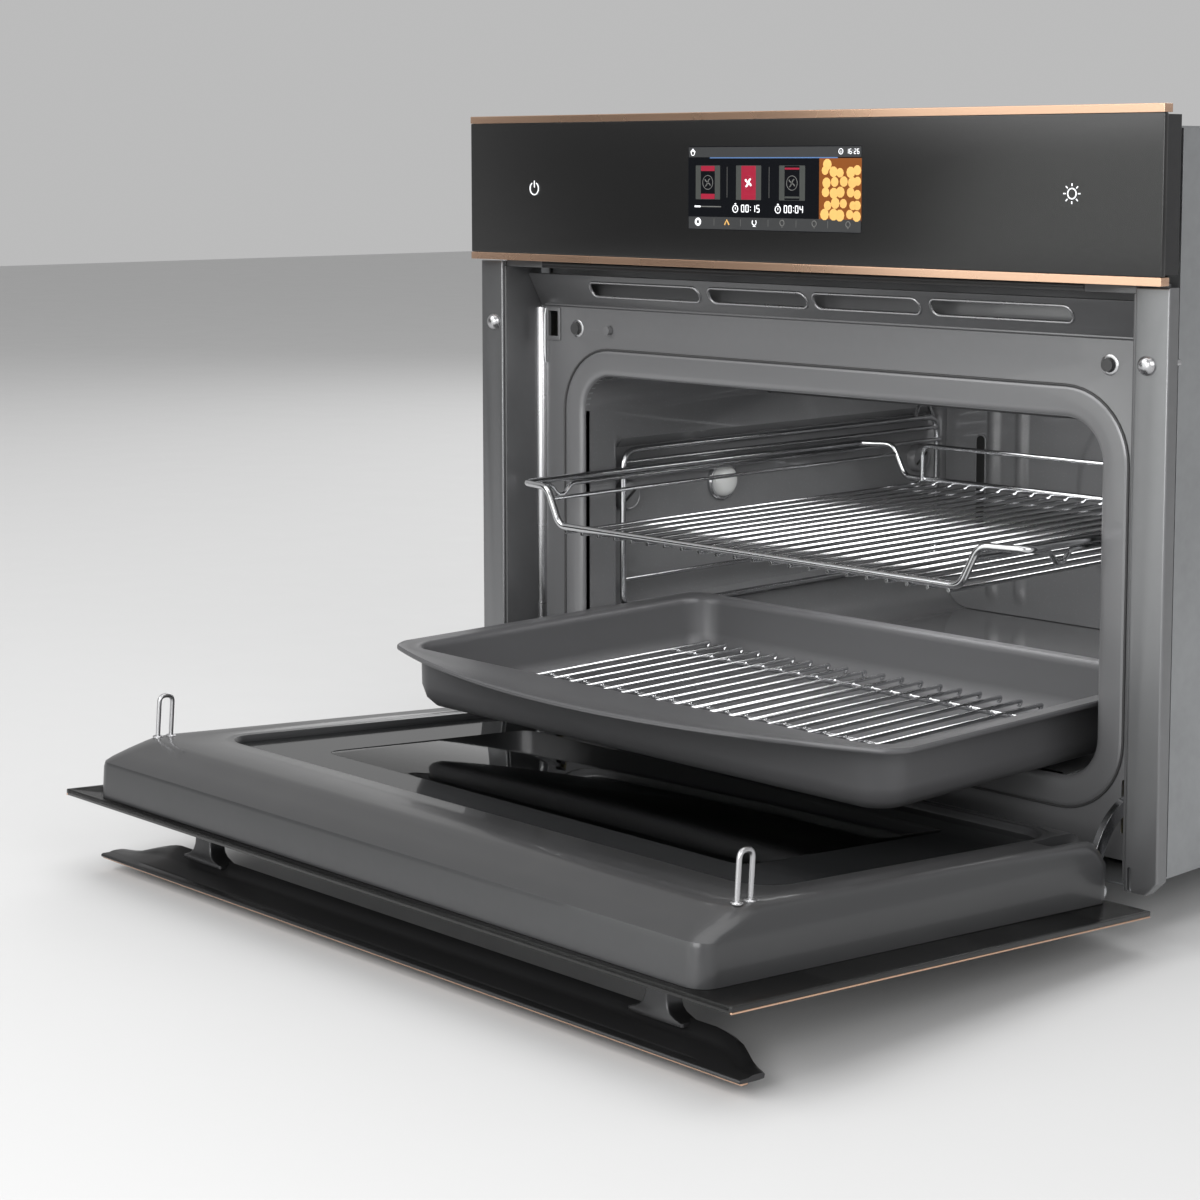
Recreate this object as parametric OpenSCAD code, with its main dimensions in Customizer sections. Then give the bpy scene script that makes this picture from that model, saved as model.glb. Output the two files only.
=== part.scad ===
// Built-in compact wall oven with its drop-down door open.
// Frame: X across the front, Y from the front to the rear, Z up.
// Origin: middle of the base's front edge, in the plane where the front frame meets the cabinet.

/* [Front] */
// Width of the front
front_w = 597; // [560:1:640]
// Height of the front, from the base to the top of the control panel
front_h = 460; // [452:1:520]
// Distance from the control glass to the cabinet's front edge
front_d = 20; // [18:1:26]
// Height of the control panel with its two trims
panel_h = 103; // [90:1:120]
// Height of each copper-coloured trim of the control panel
trim_h = 5; // [3:0.5:8]
// Thickness of the control glass and of the outer door glass
glass_t = 4; // [3:0.5:5]
// Width of each side trim
side_trim_w = 23.5; // [20:0.5:30]
// Distance of the side trims' faces behind the control glass
side_trim_back = 9; // [6:0.5:12]
// Height of the cabinet screws
screw_z = 311; // [200:1:330]
// Diameter of a cabinet screw's shank
screw_d = 4; // [3:0.5:5]

/* [Body] */
// Overlap of the front beyond the casing at each side
front_lap = 20.5; // [18:0.5:30]
// Height of the casing
body_h = 448; // [440:1:500]
// Depth of the casing behind the cabinet's front edge
body_d = 546; // [530:1:620]
// Thickness of the sheet steel
sheet = 1.2; // [0.8:0.1:1.6]

/* [Cavity] */
// Width of the cavity's mouth
mouth_w = 456; // [430:1:470]
// Height of the cavity's mouth
mouth_h = 222; // [200:1:230]
// Height of the mouth's lower edge
mouth_z = 51; // [48:1:60]
// Corner radius of the mouth
mouth_r = 27; // [15:1:35]
// Distance from the cabinet's front edge to the face around the mouth
face_y = 26; // [25:1:32]
// Depth from that face to the fan baffle
cavity_d = 421; // [415:1:450]
// Depth of the fan space behind the baffle
fan_space = 32; // [30:1:45]
// Depth of the pocket pressed into each side wall
pocket_d = 11; // [9:0.5:14]

/* [Door] */
// Gap above and below the closed door
door_gap = 2; // [1:0.5:4]
// Opening angle of the door at rest
door_angle = 85.6; // [80:0.1:90]
// Thickness of the door from the outer glass to the inner face
door_t = 41; // [38:0.5:41]
// Gap between the inner panel and the cheeks at each side
inner_gap = 1.2; // [0.8:0.1:5]
// Height of the chamfer along the inner panel's free edge
chamfer_h = 27; // [10:1:35]
// Depth of that chamfer
chamfer_d = 14; // [5:1:18]
// Width of the inner panel's border beside the window
border_w = 32; // [31:1:60]
// Height of that window
window_h = 254; // [200:1:262]
// Distance of the hinge axis behind the outer glass
pivot_back = 7.2; // [6.8:0.1:9]
// Height of the hinge axis
pivot_z = -2.6; // [-3:0.1:-2]
// Diameter of the hinge pins
pin_d = 5; // [4:0.5:5.5]

/* [Handle] */
// Length of the handle
handle_l = 574; // [450:1:590]
// Height of the handle's plate
handle_h = 34; // [25:1:40]
// Distance from the outer glass to the handle's face
handle_out = 41; // [35:1:50]
// Distance between the handle's posts
post_gap = 410; // [300:1:440]

/* [Shelf] */
// Gap between the wire shelf and the mouth at each side
shelf_gap = 4; // [3.5:0.5:8]
// Depth of the wire shelf
shelf_l = 392; // [350:1:395]
// Height of the shelf's side rails above the base
shelf_z = 200; // [190:1:210]
// Drop of the shelf's floor below its rails
shelf_drop = 26; // [15:1:28]
// Distance that the shelf stands out of the mouth's face
shelf_out = 73; // [40:1:100]
// Number of wires across the floor
shelf_wires_n = 22; // [10:1:26]

/* [Tray] */
// Gap between the tray's rim and the mouth at each side
tray_gap = 3; // [2:0.5:4]
// Depth of the tray from its front lip to its rear rim
tray_l = 350; // [330:1:352]
// Height of the tray's rim above the base
tray_z = 100; // [98:1:104]
// Height of the tray
tray_h = 43; // [30:1:44]
// Distance that the tray's front lip stands out of the mouth's face
tray_out = 234; // [200:1:234]
// Distance from the tray's body to the middle of the curved front lip
lip_bow = 54; // [20:1:58]

/* [Fans] */
// Diameter of the convection fan
fan_d = 140; // [100:1:160]
// Diameter of the cooling rotor
blower_d = 52; // [40:1:60]
// Length of the cooling rotor
blower_l = 200; // [150:1:240]

/* [Hidden] */
$fn = 48;

half_w = front_w / 2;
glass_y = -front_d;
trim_y = glass_y + side_trim_back;
panel_z = front_h - panel_h;
column_x = half_w - side_trim_w;
body_w = front_w - 2 * front_lap;
screw_x = half_w - 14.5;
cheek_t = 1.5;
cheek_x = column_x - 0.3 - cheek_t;
mouth_top = mouth_z + mouth_h;
mouth_mid = mouth_z + mouth_h / 2;
band_w = 18;
seal_w = 3.5;
deflector_z = mouth_top + band_w + 31;
slot_z = 30;
baffle_y = face_y + cavity_d;
liner_rear = baffle_y + fan_space;
rib_r = 3.5;
rib_x = [mouth_w / 2 - 80, mouth_w / 2 - 51];
vent_x = mouth_w / 2 - 36;
dish = 2.4;
pocket_z = [mouth_z + 38, mouth_top - 50];
pocket_y = [face_y + 32, baffle_y - 4];
fan_z = mouth_mid;
axle_d = 8;
running = 0.05;
clear = 0.5;

// The door is drawn closed and then turned about the hinge axis.
door_z = [door_gap / 2, panel_z - door_gap];
pivot = [0, glass_y + pivot_back, pivot_z];
inner_y = glass_y + door_t;
inner_z = [door_z[0] + 1, door_z[1] - 5];
window_z = [20, 20 + window_h];
window_seat = 5;
window_lap = 6;
inner_w = 2 * (cheek_x - inner_gap);
window_w = inner_w - 2 * border_w;
hook_x = inner_w / 2 - 13;
hook_z = [303, 313];
hook_hole = [hook_z[0] - 4, hook_z[1] + 6.5];
hook_hole_w = 12;
buffer_x = [-hook_x + 25, hook_x - 26.5];
buffer_z = hook_z[0] + 3.5;
switch_x = -hook_x + 59;
hook_l = 27;
hook_d = 3;
hinge_x = hook_x - 6;
hinge_slot = 12;
arm_t = 4;
arm_root = 40;
arm_root_z = [28, 54];
leaf_x = hinge_x + 5;
leaf_t = 4;
handle_z = 317;

// Heights of the racks' level wires, which carry the tray's rim and the shelf's rails.
rack_wire = 4;
rack_x = mouth_w / 2 - 6;
tray_rim = 3;
shelf_wire = 5;
rack_gap = 0.8;
rack_levels = [tray_z - tray_rim - rack_wire / 2 - rack_gap, shelf_z - shelf_wire / 2 - rack_wire / 2 - rack_gap];
lamp = [face_y + 157, mouth_mid + 19];
lamp_r = 15;
heater_d = 6.5;
grill_z = mouth_top - 16;
base_heater_z = mouth_z - sheet - 5.3;
probe_x = 120;
wool = 18;
blower = [250, 360];
shelf_w = mouth_w - 2 * shelf_gap;
tray_w = mouth_w - 2 * tray_gap;
tray_front = face_y - tray_out;
tray_body_y = [tray_front + lip_bow, tray_front + tray_l - 8];
tray_body_w = tray_w - 26;
shelf_front = face_y - shelf_out;

black = [0.04, 0.04, 0.045];
enamel = [0.42, 0.42, 0.43];
steel = [0.62, 0.62, 0.63];
zinc = [0.5, 0.51, 0.52];
chrome = [0.8, 0.8, 0.81];
copper = [0.72, 0.53, 0.41];
plastic = [0.12, 0.12, 0.13];
ceramic = [0.85, 0.83, 0.78];

// A box between two opposite corners.
module block(lo, hi) {
    translate(lo) cube(hi - lo);
}

// A pair of children, mirrored left and right.
module both_sides() {
    children();
    mirror([1, 0, 0]) children();
}

// A rectangle with round corners, centred.
module round_rect(w, h, r) {
    square([w - 2 * r, h], center = true);
    square([w, h - 2 * r], center = true);
    for (x = [-1, 1], y = [-1, 1])
        translate([x * (w / 2 - r), y * (h / 2 - r)]) circle(r);
}

// A front view (X, Z) carried from depth y0 to depth y1.
module along_y(y0, y1) {
    translate([0, y1, 0]) rotate([90, 0, 0]) linear_extrude(y1 - y0) children();
}

// A side view (Y, Z) carried from x0 to x1.
module along_x(x0, x1) {
    translate([x0, 0, 0]) rotate([90, 0, 90]) linear_extrude(x1 - x0) children();
}

// A round rod between two points.
module rod(p, q, d) {
    v = q - p;
    l = norm(v);
    translate(p) rotate([0, acos(v[2] / l), atan2(v[1], v[0])]) cylinder(d = d, h = l);
}

// A bent wire through a list of points; the elbows and ends are balls a little thicker than it.
module wire(points, d, closed = false) {
    n = len(points);
    for (i = [0 : n - (closed ? 1 : 2)]) rod(points[i], points[(i + 1) % n], d);
    for (p = points) translate(p) sphere(d = 1.12 * d);
}

// What moves with the door, drawn closed, set at its rest angle.
module on_door() {
    translate(pivot) rotate([door_angle, 0, 0]) translate(-pivot) children();
}

module casing_side() {
    x = body_w / 2;
    block([x - sheet, face_y + 4, sheet], [x, body_d - sheet, body_h - sheet]);
    block([x - 9, face_y + 4, sheet], [x, face_y + 4 + sheet, body_h - sheet]);
}

module casing_left() {
    color(zinc) mirror([1, 0, 0]) casing_side();
}

module casing_right() {
    color(zinc) casing_side();
}

module casing_top() {
    x = body_w / 2;
    color(zinc) difference() {
        block([-x, 2, body_h - sheet], [x, body_d - sheet, body_h]);
        for (i = [-6 : 6])
            translate([i * 30, body_d - 90, body_h - 2 * sheet]) cube([8, 50, 3 * sheet]);
    }
}

module casing_rear() {
    x = body_w / 2;
    color(zinc) difference() {
        block([-x, body_d - sheet, 0], [x, body_d, body_h]);
        for (i = [-4 : 4], j = [0 : 2])
            translate([120 + i * 18, body_d - 2 * sheet, 330 + j * 32]) cube([6, 3 * sheet, 22]);
    }
}

module casing_base() {
    x = body_w / 2;
    color(zinc) {
        block([-x, face_y + 2.5, 0], [x, body_d - sheet, sheet]);
        block([-column_x + 1, -1, 0], [column_x - 1, face_y + 2.5, sheet]);
    }
}

// Face around the mouth: a raised band, slots for the hooks and hinge arms, and two cheeks.
module face_frame() {
    x = column_x - 0.3;
    top = deflector_z;
    color(steel) difference() {
        union() {
            block([-x, face_y, 6], [x, face_y + 1.5, top]);
            along_y(face_y - 1, face_y + 1) translate([0, mouth_mid])
                round_rect(mouth_w + 2 * band_w, mouth_h + 2 * band_w, mouth_r + band_w);
            both_sides() block([x - cheek_t, trim_y + 1.6, 6], [x, face_y + 1.5, panel_z - 3]);
        }
        along_y(face_y - 2, face_y + 3) translate([0, mouth_mid]) round_rect(mouth_w, mouth_h, mouth_r);
        both_sides() {
            block([hook_x - hook_hole_w / 2, face_y - 2, hook_hole[0]],
                  [hook_x + hook_hole_w / 2, face_y + 3, hook_hole[1]]);
            block([hinge_x - hinge_slot / 2, face_y - 2, 22], [hinge_x + hinge_slot / 2, face_y + 3, 56]);
        }
        for (x = buffer_x) translate([x, 0, buffer_z]) rotate([-90, 0, 0]) cylinder(r = 4.1, h = 60);
        translate([switch_x, 0, buffer_z]) rotate([-90, 0, 0]) cylinder(r = 3.3, h = 60);
    }
}

module cavity_seal() {
    w = mouth_w + 2 * band_w;
    h = mouth_h + 2 * band_w;
    color(plastic) along_y(face_y - 2, face_y) translate([0, mouth_mid]) difference() {
        round_rect(w + 2 * seal_w, h + 2 * seal_w, mouth_r + band_w + seal_w);
        round_rect(w, h, mouth_r + band_w);
    }
}

// A side trim: a face with an outer lip back to the cabinet and an inner cheek.
module side_trim() {
    cut = 8;
    top = panel_z - 1;
    color(steel) difference() {
        union() {
            along_y(trim_y, trim_y + 1.5)
                polygon([[column_x, 0], [half_w - cut, 0], [half_w, cut], [half_w, top], [column_x, top]]);
            block([half_w - 1.5, trim_y, cut], [half_w, 0, top]);
        }
        translate([screw_x, trim_y - 1, screw_z]) rotate([-90, 0, 0]) cylinder(d = screw_d + 2.6, h = 4);
    }
}

module side_trim_left() {
    mirror([1, 0, 0]) side_trim();
}

module side_trim_right() {
    side_trim();
}

module cabinet_screws() {
    head_d = 10;
    color(chrome) both_sides() translate([screw_x, trim_y, screw_z]) {
        rotate([-90, 0, 0]) cylinder(d = screw_d, h = 32);
        difference() {
            translate([0, 1.6, 0]) intersection() {
                sphere(r = 6);
                rotate([90, 0, 0]) translate([0, 0, 1.6]) cylinder(d = head_d, h = 6);
            }
            for (a = [0, 90])
                translate([0, -4.2, 0]) rotate([0, a, 0]) cube([5, 3, 1], center = true);
        }
    }
}

// Sloped plate that turns the cooling air out through four slots.
module vent_deflector() {
    x = column_x - 2.2;
    front = [trim_y + 23, panel_z - 11];
    rear = [face_y - 0.3, deflector_z];
    slope = atan2(front[1] - rear[1], front[0] - rear[0]);
    run = norm(front - rear);
    color(steel) difference() {
        along_x(-x, x) polygon([front, rear, rear + [0, 2], front + [1.6, 1.6]]);
        for (s = [[-211, -102], [-93, -4], [4, 93], [102, 211]])
            translate([s[0], rear[0], rear[1]]) rotate([slope, 0, 0])
                translate([0, run * 0.3, -6]) cube([s[1] - s[0], run * 0.5, 12]);
    }
}

module louvre_strip() {
    x = 236;
    color(black) difference() {
        block([-x, trim_y + 4, panel_z - 3.4], [x, trim_y + 22, panel_z - 1.2]);
        for (i = [0 : 3])
            translate([-x + 12 + i * 115, trim_y + 8, panel_z - 5]) cube([100, 4, 6]);
    }
}

module latch_left() {
    mirror([1, 0, 0]) latch_right();
}

// Receiver plate with a square hole for the door's hook and one small screw.
module latch_right() {
    color(zinc) difference() {
        union() {
            block([hook_x - 9, face_y - 1.5, hook_z[0] - 24], [hook_x + 9, face_y, hook_hole[1] + 2]);
            translate([hook_x, face_y - 1.5, hook_z[0] - 14]) rotate([90, 0, 0]) cylinder(d = 6, h = 1.4);
        }
        block([hook_x - hook_hole_w / 2, face_y - 3, hook_hole[0]],
              [hook_x + hook_hole_w / 2, face_y + 1, hook_hole[1]]);
    }
}

module door_buffers() {
    color(black) for (x = buffer_x) translate([x, face_y - 3.6, buffer_z]) rotate([-90, 0, 0]) {
        cylinder(r1 = 3, r2 = 5, h = 3.6);
        cylinder(r = 4, h = 8);
    }
}

module panel_glass() {
    color(black) block([-half_w, glass_y, panel_z + trim_h + 0.1], [half_w, glass_y + glass_t, front_h - trim_h - 0.1]);
}

// A copper-coloured trim with a thin lip behind the control glass.
module panel_trim(z) {
    color(copper) block([-half_w, glass_y - 0.4, z], [half_w, glass_y + glass_t + 4, z + trim_h]);
}

module panel_trim_top() {
    panel_trim(front_h - trim_h);
}

module panel_trim_bottom() {
    panel_trim(panel_z);
}

module panel_carrier() {
    x = half_w - 2;
    back = glass_y + glass_t + 0.2;
    z = [panel_z + trim_h + 1, front_h - trim_h - 1];
    color(plastic) difference() {
        block([-x, back, z[0]], [x, -0.2, z[1]]);
        block([-80, back - 1, z[0] + 12], [80, -3, z[1] - 12]);
        for (s = [-1, 1]) block([s * 190 - 90, back + 2, z[0] + 6], [s * 190 + 90, 1, z[1] - 6]);
    }
}

module display() {
    color(black) block([-77, glass_y + glass_t + 0.3, panel_z + 20], [77, -4, panel_z + 80]);
}

module touch_board() {
    color("darkgreen") block([-270, -6, panel_z + 25], [-110, -4.4, panel_z + 75]);
}

module power_board() {
    z = body_h - 60;
    color("darkgreen") block([-262, 120, z], [-112, 290, z + 1.6]);
    color(black) {
        block([-245, 140, z + 1.6], [-210, 175, z + 30]);
        block([-190, 150, z + 1.6], [-160, 180, z + 22]);
        for (i = [0 : 3]) block([-245 + i * 32, 230, z + 1.6], [-223 + i * 32, 250, z + 18]);
    }
}

module terminal_block() {
    y = body_d - 60;
    z = body_h - 62;
    color(ceramic) difference() {
        block([-215, y, z], [-145, body_d - sheet - 0.2, z + 40]);
        for (i = [0 : 2]) block([-206 + i * 20, y - 1, z + 10], [-194 + i * 20, y + 20, z + 30]);
    }
}

module door_switch() {
    color(plastic) difference() {
        block([switch_x - 12, face_y + 2, buffer_z - 8.5], [switch_x + 12, face_y + 30, buffer_z + 8.5]);
        translate([switch_x, 0, buffer_z]) rotate([-90, 0, 0]) cylinder(r = 3.3, h = face_y + 14);
    }
}

module switch_plunger() {
    color(ceramic) translate([switch_x, face_y - 4.2, buffer_z]) rotate([-90, 0, 0]) {
        cylinder(r = 3, h = 14);
        translate([0, 0, 1]) cylinder(r = 3, h = 2);
    }
}

// The space inside the cavity: the main void with a pocket in each side, grown by g.
module cavity_space(g, y0, y1) {
    along_y(y0, y1) translate([0, mouth_mid]) round_rect(mouth_w + 2 * g, mouth_h + 2 * g, mouth_r + g);
    h = pocket_z[1] - pocket_z[0];
    both_sides() translate([mouth_w / 2 - 30, 0, 0])
        rotate([0, 90, 0]) linear_extrude(30 + pocket_d + g)
            translate([-(pocket_z[0] + pocket_z[1]) / 2, (pocket_y[0] + pocket_y[1]) / 2])
                round_rect(h + 2 * g, pocket_y[1] - pocket_y[0] + 2 * g, 12 + g);
}

module cavity_liner() {
    color(enamel) difference() {
        cavity_space(sheet, face_y + 1.5, liner_rear + sheet);
        cavity_space(0, face_y, liner_rear);
        translate([0, liner_rear - 1, fan_z]) rotate([-90, 0, 0]) cylinder(d = axle_d + 4, h = 4);
        translate([-mouth_w / 2 - pocket_d + 2, lamp[0], lamp[1]]) rotate([0, -90, 0])
            cylinder(r = lamp_r - 4, h = 6);
        rear_holes(liner_rear - 1, 4, clear);
    }
}

// Holes in the rear walls for the grill element's two ends and the temperature probe.
module rear_holes(y, l, gap) {
    for (x = [-60, 60]) translate([x, y, grill_z]) rotate([-90, 0, 0]) cylinder(d = heater_d + 2 * gap, h = l);
    translate([probe_x, y, grill_z]) rotate([-90, 0, 0]) cylinder(d = 5 + 2 * gap, h = l);
}

// Ribbed wall in front of the fan, with a grille over the rotor and slots for the moving air.
module fan_baffle() {
    w = mouth_w - 1;
    color(enamel) difference() {
        union() {
            along_y(baffle_y, baffle_y + sheet) translate([0, mouth_mid])
                round_rect(w, mouth_h - 1, mouth_r);
            for (s = [-1, 1], x = rib_x)
                translate([s * x, baffle_y, mouth_z + 10]) cylinder(r = rib_r, h = mouth_h - 20);
            translate([0, baffle_y, fan_z]) rotate([90, 0, 0]) cylinder(r = 92, h = dish);
        }
        block([-w, baffle_y + sheet, mouth_z], [w, baffle_y + 8, mouth_top]);
        for (s = [-1, 1]) {
            block([s * 95 - 30, baffle_y - 6, mouth_top - 33], [s * 95 + 30, baffle_y + 2, mouth_top - 23]);
            block([s * vent_x - 6, baffle_y - 6, 120], [s * vent_x + 6, baffle_y + 2, 200]);
        }
        for (a = [0 : 30 : 330], r = [22, 40])
            translate([0, baffle_y - dish - 1, fan_z]) rotate([0, a, 0]) translate([r, 0, 0])
                rotate([-90, 0, 0]) cylinder(r = r == 22 ? 3.5 : 6, h = dish + 4);
        rear_holes(baffle_y - 6, 9, clear);
    }
}

// Blanket around the liner, open at the front.
module insulation() {
    x = mouth_w / 2 + pocket_d + sheet + 1;
    z = [base_heater_z - heater_d, mouth_top + sheet + 1];
    rear = liner_rear + sheet + 1;
    color([0.8, 0.75, 0.55]) difference() {
        block([-x - wool, face_y + 8, z[0] - wool], [x + wool, rear + wool, z[1] + wool]);
        block([-x, face_y, z[0]], [x, rear, z[1]]);
        translate([0, rear - 1, fan_z]) rotate([-90, 0, 0]) cylinder(r = 34, h = wool + 2);
        translate([0, lamp[0], lamp[1]]) rotate([0, -90, 0]) cylinder(r = lamp_r + 6, h = x + wool + 2);
        rear_holes(rear - 1, wool + 2, 2);
        for (s = [-1, 1]) translate([s * 40, rear - 1, base_heater_z])
            rotate([-90, 0, 0]) cylinder(d = heater_d + 4, h = wool + 2);
        both_sides() block([hinge_x - arm_t / 2 - 3, face_y, arm_root_z[0] - 3],
                           [x + wool + 1, face_y + arm_root + 3, arm_root_z[1] + 3]);
    }
}

module convection_fan() {
    y = baffle_y + 8;
    color(zinc) translate([0, y, fan_z]) rotate([-90, 0, 0]) {
        difference() {
            cylinder(d = fan_d, h = 1);
            for (a = [0 : 45 : 315]) rotate(a) translate([fan_d * 0.28, 0, -1]) cylinder(r = 7, h = 3);
        }
        cylinder(r = 12, h = 5);
        for (a = [0 : 30 : 330]) rotate(a) translate([fan_d * 0.3, -0.5, 0]) cube([fan_d * 0.19, 1, 14]);
        cylinder(d = axle_d, h = liner_rear - y + 12);
    }
}

// Motor behind the liner; its bore runs on the fan's shaft.
module convection_motor() {
    y = liner_rear + sheet + 0.6;
    color(zinc) difference() {
        translate([0, y, fan_z]) rotate([-90, 0, 0]) {
            cylinder(r = 32, h = 4);
            translate([0, 0, 4]) cylinder(r = 27, h = 36);
        }
        translate([0, y - 1, fan_z]) rotate([-90, 0, 0]) cylinder(d = axle_d + 2 * running, h = 30);
    }
}

module ring_heater() {
    y = baffle_y + 15;
    color([0.25, 0.25, 0.26]) for (k = [0, 1])
        translate([0, y + k * 9, fan_z]) rotate([-90, 0, 0])
            rotate_extrude() translate([fan_d / 2 + 14, 0]) circle(d = 6.5);
}

// One heating tube bent in a hairpin under the roof.
module grill_element() {
    y = [face_y + 149, baffle_y - 30];
    x = mouth_w / 2 - 48;
    right = [[x, y[0], grill_z], [x, y[1], grill_z], [100, y[1], grill_z], [100, y[0] + 30, grill_z],
             [60, y[0] + 30, grill_z], [60, liner_rear + 20, grill_z]];
    left = [for (i = [len(right) - 1 : -1 : 0]) [-right[i][0], right[i][1], right[i][2]]];
    color([0.25, 0.25, 0.26]) wire(concat(left, right), heater_d);
}

// Heating tube clamped under the liner's floor.
module bottom_element() {
    z = base_heater_z;
    y = [120, baffle_y - 30];
    x = mouth_w / 2 - 78;
    right = [[x, y[0], z], [x, y[1], z], [40, y[1], z], [40, liner_rear + 20, z]];
    left = [for (i = [len(right) - 1 : -1 : 0]) [-right[i][0], right[i][1], right[i][2]]];
    color([0.25, 0.25, 0.26]) wire(concat(left, right), heater_d);
}

// Glass dome and ring that cover the bulb in the left wall.
module lamp_lens() {
    color([0.85, 0.87, 0.88]) translate([-mouth_w / 2 - pocket_d, lamp[0], lamp[1]]) rotate([0, 90, 0])
        difference() {
            union() {
                cylinder(r = lamp_r, h = 4);
                intersection() {
                    translate([0, 0, -5]) sphere(r = lamp_r + 1);
                    cylinder(r = lamp_r - 2, h = 12);
                }
            }
            translate([0, 0, -1]) cylinder(r = lamp_r - 6, h = 7);
        }
}

module lamp_socket() {
    x = -mouth_w / 2 - pocket_d - sheet;
    color(ceramic) translate([x - 0.2, lamp[0], lamp[1]]) rotate([0, -90, 0]) difference() {
        cylinder(r = lamp_r + 2, h = 16);
        translate([0, 0, -1]) cylinder(r = lamp_r - 4, h = 12);
    }
    color([1, 0.95, 0.8]) translate([x - 10.5, lamp[0], lamp[1]]) rotate([0, 90, 0]) cylinder(r = 6, h = 15);
}

module temperature_probe() {
    color(chrome) rod([probe_x, baffle_y - 20, grill_z], [probe_x, liner_rear + 24, grill_z], 5);
}

// One side rack: two uprights joined by level wires, with two more standing inwards to carry the sliding parts.
module rack() {
    x = rack_x;
    lo = mouth_z + 41;
    hi = mouth_top - 59;
    ys = [face_y + 40, baffle_y - 12];
    color(chrome) {
        for (y = ys) rod([x + 6, y, lo], [x + 6, y, hi + 2], rack_wire + 1);
        for (z = [lo + 25, hi - 9, hi]) rod([x + 6, ys[0], z], [x + 6, ys[1], z], rack_wire);
        for (z = rack_levels) {
            wire([[x, ys[0], z], [x, ys[1], z]], rack_wire);
            for (y = ys) rod([x, y, z], [x + 6, y, z], rack_wire - 1);
        }
    }
}

module rack_left() {
    mirror([1, 0, 0]) rack();
}

module rack_right() {
    rack();
}

// Round caps that hold the racks to the side walls.
module rack_fixings() {
    color(enamel) both_sides() for (y = [face_y + 52, baffle_y - 26])
        translate([mouth_w / 2 + pocket_d, y, mouth_mid + 17]) rotate([0, -90, 0]) difference() {
            cylinder(r = 11.5, h = 6.5);
            translate([-12, -0.8, 5.5]) cube([24, 1.6, 3]);
        }
}

module cooling_rotor() {
    color(zinc) translate([-blower_l / 2, blower[0], blower[1]]) rotate([0, 90, 0]) {
        for (k = [0, 0.5, 1]) translate([0, 0, k * (blower_l - 1.5)]) cylinder(d = blower_d, h = 1.5);
        for (a = [0 : 24 : 336]) rotate(a) translate([blower_d / 2 - 6, -0.5, 0]) cube([5, 1, blower_l]);
        translate([0, 0, -12]) cylinder(d = 5, h = blower_l + 60);
    }
}

// Scroll and duct that lead the cooling air from the rotor to the slots in front.
module cooling_housing() {
    x = blower_l / 2 + 4;
    y = blower[0];
    z = blower[1];
    r = blower_d / 2 + 5;
    color(zinc) difference() {
        union() {
            along_x(-x, x) translate([y, z]) circle(r);
            block([-x, 40, z - r], [x, y, z + 6]);
        }
        along_x(-x + sheet, x - sheet) translate([y, z]) circle(r - sheet);
        block([-x + sheet, 39, z - r + sheet], [x - sheet, y, z + 6 - sheet]);
        block([-x + 10, y + 8, z + 4], [x - 10, y + 60, z + 60]);
        translate([-x - 1, y, z]) rotate([0, 90, 0]) cylinder(d = 5 + 2 * running, h = 2 * x + 2);
    }
}

module cooling_motor() {
    x = blower_l / 2 + 6;
    color(zinc) difference() {
        translate([x, blower[0], blower[1]]) rotate([0, 90, 0]) cylinder(r = 24, h = 34);
        translate([x - 1, blower[0], blower[1]]) rotate([0, 90, 0]) cylinder(d = 5 + 2 * running, h = 50);
    }
}

// Curved arm that carries the hinge pin in front of the face, below the door's inner face.
module hinge_arm() {
    r = 4.4;
    arm_r = 49;
    arm_mid = pivot[1] - 1.7 + arm_r;
    c = [pivot[1], pivot[2]];
    color(chrome) difference() {
        union() {
            along_x(hinge_x - arm_t / 2, hinge_x + arm_t / 2) {
                translate(c) circle(r);
                difference() {
                    translate([arm_mid, 0]) circle(arm_r);
                    translate([arm_mid, 0]) circle(arm_r - 9);
                    translate([-60, -60]) square([200, 62]);
                    translate([face_y + 3, -20]) square([100, 200]);
                }
                translate([pivot[1] - 2, pivot[2]]) square([2 + r, 8]);
            }
            block([hinge_x - arm_t / 2, face_y + 2, arm_root_z[0]],
                  [hinge_x + arm_t / 2, face_y + arm_root, arm_root_z[1]]);
        }
        translate([hinge_x - 10, c[0], c[1]]) rotate([0, 90, 0]) cylinder(d = pin_d, h = 20);
    }
}

module hinge_arm_left() {
    mirror([1, 0, 0]) hinge_arm();
}

module hinge_arm_right() {
    hinge_arm();
}

module hinge_pins() {
    color(chrome) both_sides() translate([hinge_x - arm_t / 2 - 1, pivot[1], pivot[2]])
        rotate([0, 90, 0]) cylinder(d = pin_d, h = leaf_x + leaf_t - hinge_x + arm_t / 2 + 2);
}

module door_glass() {
    color(black) on_door() block([-half_w, glass_y, door_z[0]], [half_w, glass_y + glass_t, door_z[1]]);
}

// Side view of the inner panel, pulled in by g.
function inner_profile(g) = [
    [glass_y + glass_t + 0.1 - (g > 0 ? 1 : 0), inner_z[0] + g],
    [inner_y - g, inner_z[0] + g],
    [inner_y - g, inner_z[1] - chamfer_h - g * 0.3],
    [inner_y - chamfer_d - g, inner_z[1] - g],
    [glass_y + glass_t + 0.1 - (g > 0 ? 1 : 0), inner_z[1] - g]
];

module inner_shape(g) {
    mid = (inner_z[0] + inner_z[1]) / 2;
    h = inner_z[1] - inner_z[0];
    intersection() {
        along_x(-inner_w / 2 + g, inner_w / 2 - g) polygon(inner_profile(g));
        along_y(glass_y, inner_y + 1) translate([0, mid]) round_rect(inner_w - 2 * g, h - 2 * g, 12 - g);
    }
}

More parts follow.
